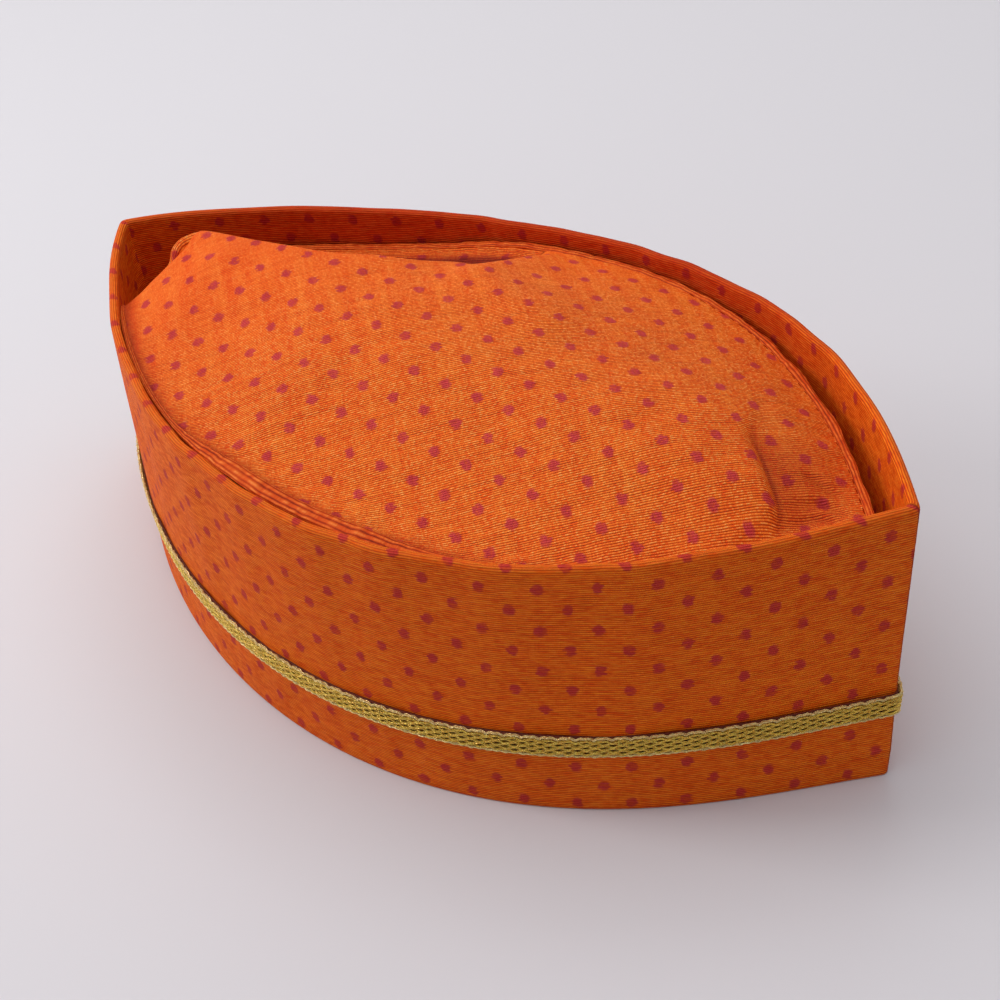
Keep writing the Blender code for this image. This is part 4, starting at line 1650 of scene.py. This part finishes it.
@dataclass
class GoldBraid:
    """Flat braid of wavy gold threads on a tape, sewn to the band."""

    plan: CapPlan
    foot: float = 0.0186
    width: float = 0.0066
    fit_gap: float = 0.0003
    inner: tuple[BraidThread, ...] = (
        BraidThread(1.02, 0.24, 0.0, 0.66, 0.66),
        BraidThread(1.90, 0.30, 0.5, 0.68, 0.70),
        BraidThread(2.78, 0.30, 0.0, 0.68, 0.70),
        BraidThread(3.66, 0.30, 0.5, 0.68, 0.70),
        BraidThread(4.54, 0.30, 0.0, 0.68, 0.70),
        BraidThread(5.34, 0.24, 0.5, 0.64, 0.70),
    )
    lower_edge: BraidThread = BraidThread(0.34, 0.06, 0.5, 0.62, 0.72)
    upper_edge: BraidThread = BraidThread(6.00, 0.50, 0.0, 0.54, 0.70)
    period: float = 4.1
    lean: float = 0.45
    sides: int = 8
    steps_per_period: int = 12
    fine_stations: int = 600
    crease_rounding: float = 0.0010
    heading_reach: float = 0.3
    loop_power: float = 0.8
    lean_power: float = 1.5
    sway: float = 0.10
    sway_start: float = 0.7
    # The tape reaches above the top thread's loops: a painted shadow line along the braid's upper edge.
    tape_heights: tuple[float, float] = (0.0006, 0.0064)
    tape_depths: tuple[float, float] = (0.0001, 0.0004)
    tape_cloth: tuple[float, ...] = (0.0, 0.3, 6.1, 6.4, 12.0)
    tape_thinning: int = 4

    def __post_init__(self) -> None:
        """Work out the line that the braid follows."""
        shares = np.linspace(0.0, 1.0, self.fine_stations + 1)
        base = self.plan.ring(self.foot + self.width / 2, 0.0, shares, self.crease_rounding)
        self.reach = loop_reach(base)
        self.closed = np.vstack([base, base[:1]])
        self.total = float(self.reach[-1])
        self.periods = round(self.total / self.period)
        count = self.periods * self.steps_per_period
        self.along = np.arange(count) / count * self.total

    def line(self, along: np.ndarray, height: np.ndarray | float, out: np.ndarray | float) -> np.ndarray:
        """Points over the band's outer face.

        Args:
            along: Distances round the braid.
            height: Heights above the foot.
            out: Distances off the band.

        Returns:
            The points.
        """
        reach, closed = self.reach, self.closed
        line = np.stack([np.interp(along, reach, closed[:, k]) for k in range(3)], axis=-1)
        ahead, behind = (
            np.stack([np.interp((along + step) % self.total, reach, closed[:, k]) for k in range(2)], axis=-1)
            for step in (self.heading_reach, -self.heading_reach)
        )
        heading = ahead - behind
        heading /= np.linalg.norm(heading, axis=-1)[..., None]
        line[..., 0] += heading[..., 1] * out
        line[..., 1] -= heading[..., 0] * out
        line[..., 2] = height
        return line

    def thread_grid(self, thread: BraidThread, looped: bool = False) -> ClothGrid:
        """One wavy thread all round the cap.

        Args:
            thread: The thread's place, wave and section.
            looped: Whether the wave is a row of round loops.

        Returns:
            The thread's closed grid.
        """
        turn = math.tau * (self.periods * self.along / self.total + thread.start)
        wave = np.abs(np.sin(turn / 2)) ** self.loop_power if looped else np.cos(turn)
        height = self.foot + (thread.height + thread.wave * wave) * MM
        lean = self.lean * (thread.height * MM / self.width) ** self.lean_power
        sway = self.sway * np.cos(2.0 * turn + self.sway_start)
        out = self.fit_gap + (thread.depth / 2 + lean + sway) * MM
        rings = []
        for side in range(self.sides):
            angle = math.tau * side / self.sides
            lift = thread.width / 2 * math.sin(angle) * MM
            push = thread.depth / 2 * math.cos(angle) * MM
            rings.append(self.line(self.along, height + lift, out + push))
        round_it = np.arange(self.sides + 1) / self.sides
        columns, rows = np.meshgrid(np.append(self.along, self.total), round_it + thread.height)
        return ClothGrid(np.array(rings), np.stack([columns, rows], axis=-1), True, True)

    def tape_grid(self) -> ClothGrid:
        """The tape between the band and the threads.

        Returns:
            The tape's closed grid.
        """
        along = self.along[:: self.tape_thinning]
        (low, high), (back, front) = self.tape_heights, self.tape_depths
        corners = ((low, back), (low, front), (high, front), (high, back))
        rings = [self.line(along, self.foot + height, out) for height, out in corners]
        columns, rows = np.meshgrid(np.append(along, self.total), np.array(self.tape_cloth))
        return ClothGrid(np.array(rings), np.stack([columns, rows], axis=-1), True, True)

    def build(
        self, finish: bpy.types.Material, edging: bpy.types.Material, backing: bpy.types.Material
    ) -> list[bpy.types.Object]:
        """Make the braid.

        Args:
            finish: The gold thread.
            edging: The gold along its edges, paler as a painted highlight.
            backing: The tape behind it, painted dark as the shade in its gaps and above it.

        Returns:
            The braid's objects.
        """
        inner = [self.thread_grid(thread) for thread in self.inner]
        edges = [self.thread_grid(self.lower_edge), self.thread_grid(self.upper_edge, looped=True)]
        braid = cloth_object("braid_threads", inner)
        dress(braid, finish, "gold_braid")
        rims = cloth_object("braid_edges", edges)
        dress(rims, edging)
        tape = cloth_object("braid_tape_shade", [self.tape_grid()])
        dress(tape, backing)
        return [braid, rims, tape]


class SoftLight(NamedTuple):
    """A square light: where it hangs, the length of its sides and its power in watts."""

    name: str
    place: tuple[float, float, float]
    size: float
    power: float


@dataclass
class Studio:
    """Plain pale floor, soft lights and the camera."""

    camera_place: tuple[float, float, float] = (0.26328, -0.26379, 0.33895)
    azimuth: float = 0.7603
    elevation: float = 0.6938
    roll: float = -0.1230
    lens: float = 68.397
    sensor: float = 36.0
    nearest: float = 0.01
    floor_size: float = 6.0
    floor_colour: tuple[float, float, float] = (209, 206, 209)
    floor_specular: float = 0.5
    sky_colour: tuple[float, float, float] = (240, 240, 246)
    sky_strength: float = 0.45
    aim: tuple[float, float, float] = (0.0, 0.0, 0.04)
    lights: tuple[SoftLight, ...] = (
        SoftLight("overhead", (0.0, 0.0, 1.2), 1.2, 5.2),
        SoftLight("window", (-1.3, -0.2, 1.9), 1.6, 10.5),
        SoftLight("low_left", (-0.75, -0.45, 0.45), 0.3, 3.7),
        SoftLight("back_left", (-0.35, 0.5, 0.9), 0.6, 1.8),
    )

    def camera(self) -> None:
        """Place the camera at the photographed angle."""
        turn, rise = self.azimuth, self.elevation
        level_reach = math.cos(rise)
        forward = Vector((-math.sin(turn) * level_reach, math.cos(turn) * level_reach, -math.sin(rise)))
        level = Vector((math.cos(turn), math.sin(turn), 0.0))
        above = level.cross(forward)
        right = math.cos(self.roll) * level + math.sin(self.roll) * above
        up = -math.sin(self.roll) * level + math.cos(self.roll) * above
        data = bpy.data.cameras.new("camera")
        data.lens = self.lens
        data.sensor_width = self.sensor
        data.clip_start = self.nearest
        camera = bpy.data.objects.new("camera", data)
        bpy.context.scene.collection.objects.link(camera)
        turn_matrix = Matrix((right, up, -forward)).transposed()
        camera.matrix_world = Matrix.Translation(self.camera_place) @ turn_matrix.to_4x4()
        bpy.context.scene.camera = camera

    def light(self, light: SoftLight) -> None:
        """Hang a light that faces the cap.

        Args:
            light: The light.
        """
        data = bpy.data.lights.new(light.name, "AREA")
        data.size = light.size
        data.energy = light.power
        lamp = bpy.data.objects.new(light.name, data)
        bpy.context.scene.collection.objects.link(lamp)
        lamp.location = light.place
        lamp.rotation_euler = (Vector(self.aim) - Vector(light.place)).to_track_quat("-Z", "Y").to_euler()

    def floor(self) -> None:
        """The pale floor that the cap stands on."""
        bpy.ops.object.select_all(action="DESELECT")
        bpy.ops.mesh.primitive_plane_add(size=self.floor_size, location=(0.0, 0.0, 0.0))
        floor = bpy.context.active_object
        floor.name = "floor"
        finish = PlainFinish("pale_floor", self.floor_colour, specular=self.floor_specular)
        floor.data.materials.append(finish.build())

    def build(self) -> None:
        """Set up the whole studio."""
        scene = bpy.context.scene
        scene.view_settings.view_transform = "Standard"
        world = bpy.data.worlds.new("studio")
        world.use_nodes = True
        sky = world.node_tree.nodes["Background"]
        sky.inputs["Color"].default_value = linear(*self.sky_colour)
        sky.inputs["Strength"].default_value = self.sky_strength
        scene.world = world
        self.camera()
        self.floor()
        for light in self.lights:
            self.light(light)


# The band's, the crown's and the ridge's silks are one cloth. The crown's copy (the defaults) is painted
# lighter than the band's, as painted light on the lit top.
BAND_SILK = DottedSilk(
    "band_silk",
    crest=(250, 136, 24),
    valley=(220, 76, 1),
    groove=(136, 34, 0),
    dot_crest=(212, 66, 52),
    dot_valley=(166, 34, 30),
    # Painted sheen tone at the rim's folds.
    fold_sheen=(200, 90, 28),
    glint_share=0.0,
    bead_pace=0.35,
    streaks=0.5,
    streak_pace=0.13,
    slubs=0.25,
    warps=0.2,
    groove_share=0.80,
    specular=0.10,
    folds=(18.0, 20.8),
    fold_reach=1.8,
    fold_sheen_share=0.50,
    # Painted shade on the far wall's inner face.
    inside=(70.0, 170.0),
)
WALL_SILK = DottedSilk("wall_silk")
# The ridge's copy is painted darker: painted shade.
RIDGE_SILK = DottedSilk(
    "ridge_silk", crest=(232, 112, 32), valley=(196, 60, 2), dot_radius=0.0, glint_share=0.10, bead_pace=0.4
)
CROWN_SILK = DottedSilk("crown_silk", calm=(-125.0, -55.0), shaded=True)
GOLD = GoldThread("gold_thread")
# Edge threads painted paler: painted highlight on the braid's edges.
HIGHLIGHT_GOLD = GoldThread("highlight_gold", light=(255, 240, 168), dark=(254, 204, 104), metallic=0.3)
# Dark tape: a backing painted dark as the shade between and above the threads.
BRAID_TAPE_SHADE = BackingShadeCloth("braid_tape_shade")
# Dark red-brown sewing thread; its darkness also stands for painted shade in the stitch holes.
SEAM_THREAD = PlainFinish("seam_thread", (140, 36, 6))


def corners(box: tuple[Vector, Vector]) -> list[list[float]]:
    """A box's two corners as plain lists."""
    return [list(corner) for corner in box]


def main() -> None:
    """Build the cap piece by piece."""
    logging.basicConfig(level=logging.INFO, format="%(message)s")
    Studio().build()
    plan, welt = CapPlan(), SeamWelt()
    seam = plan.seam()
    crown_silk = CROWN_SILK.build()
    pieces = [
        OuterBand(plan).build(BAND_SILK.build()),
        CrownSide(plan).build(seam, WALL_SILK.build()),
        welt.build(seam, RIDGE_SILK.build()),
        welt.stitches(seam, SEAM_THREAD.build()),
        CrownTop(plan).build(welt.crown_edge(seam), welt.lifts(len(seam)), crown_silk),
        FoldRoll().build(crown_silk),
        *GoldBraid(plan).build(GOLD.build(), HIGHLIGHT_GOLD.build(), BRAID_TAPE_SHADE.build()),
    ]
    for item in pieces:
        LOG.info("%s: %d faces", item.name, len(item.data.polygons))


if __name__ == "__main__":
    main()
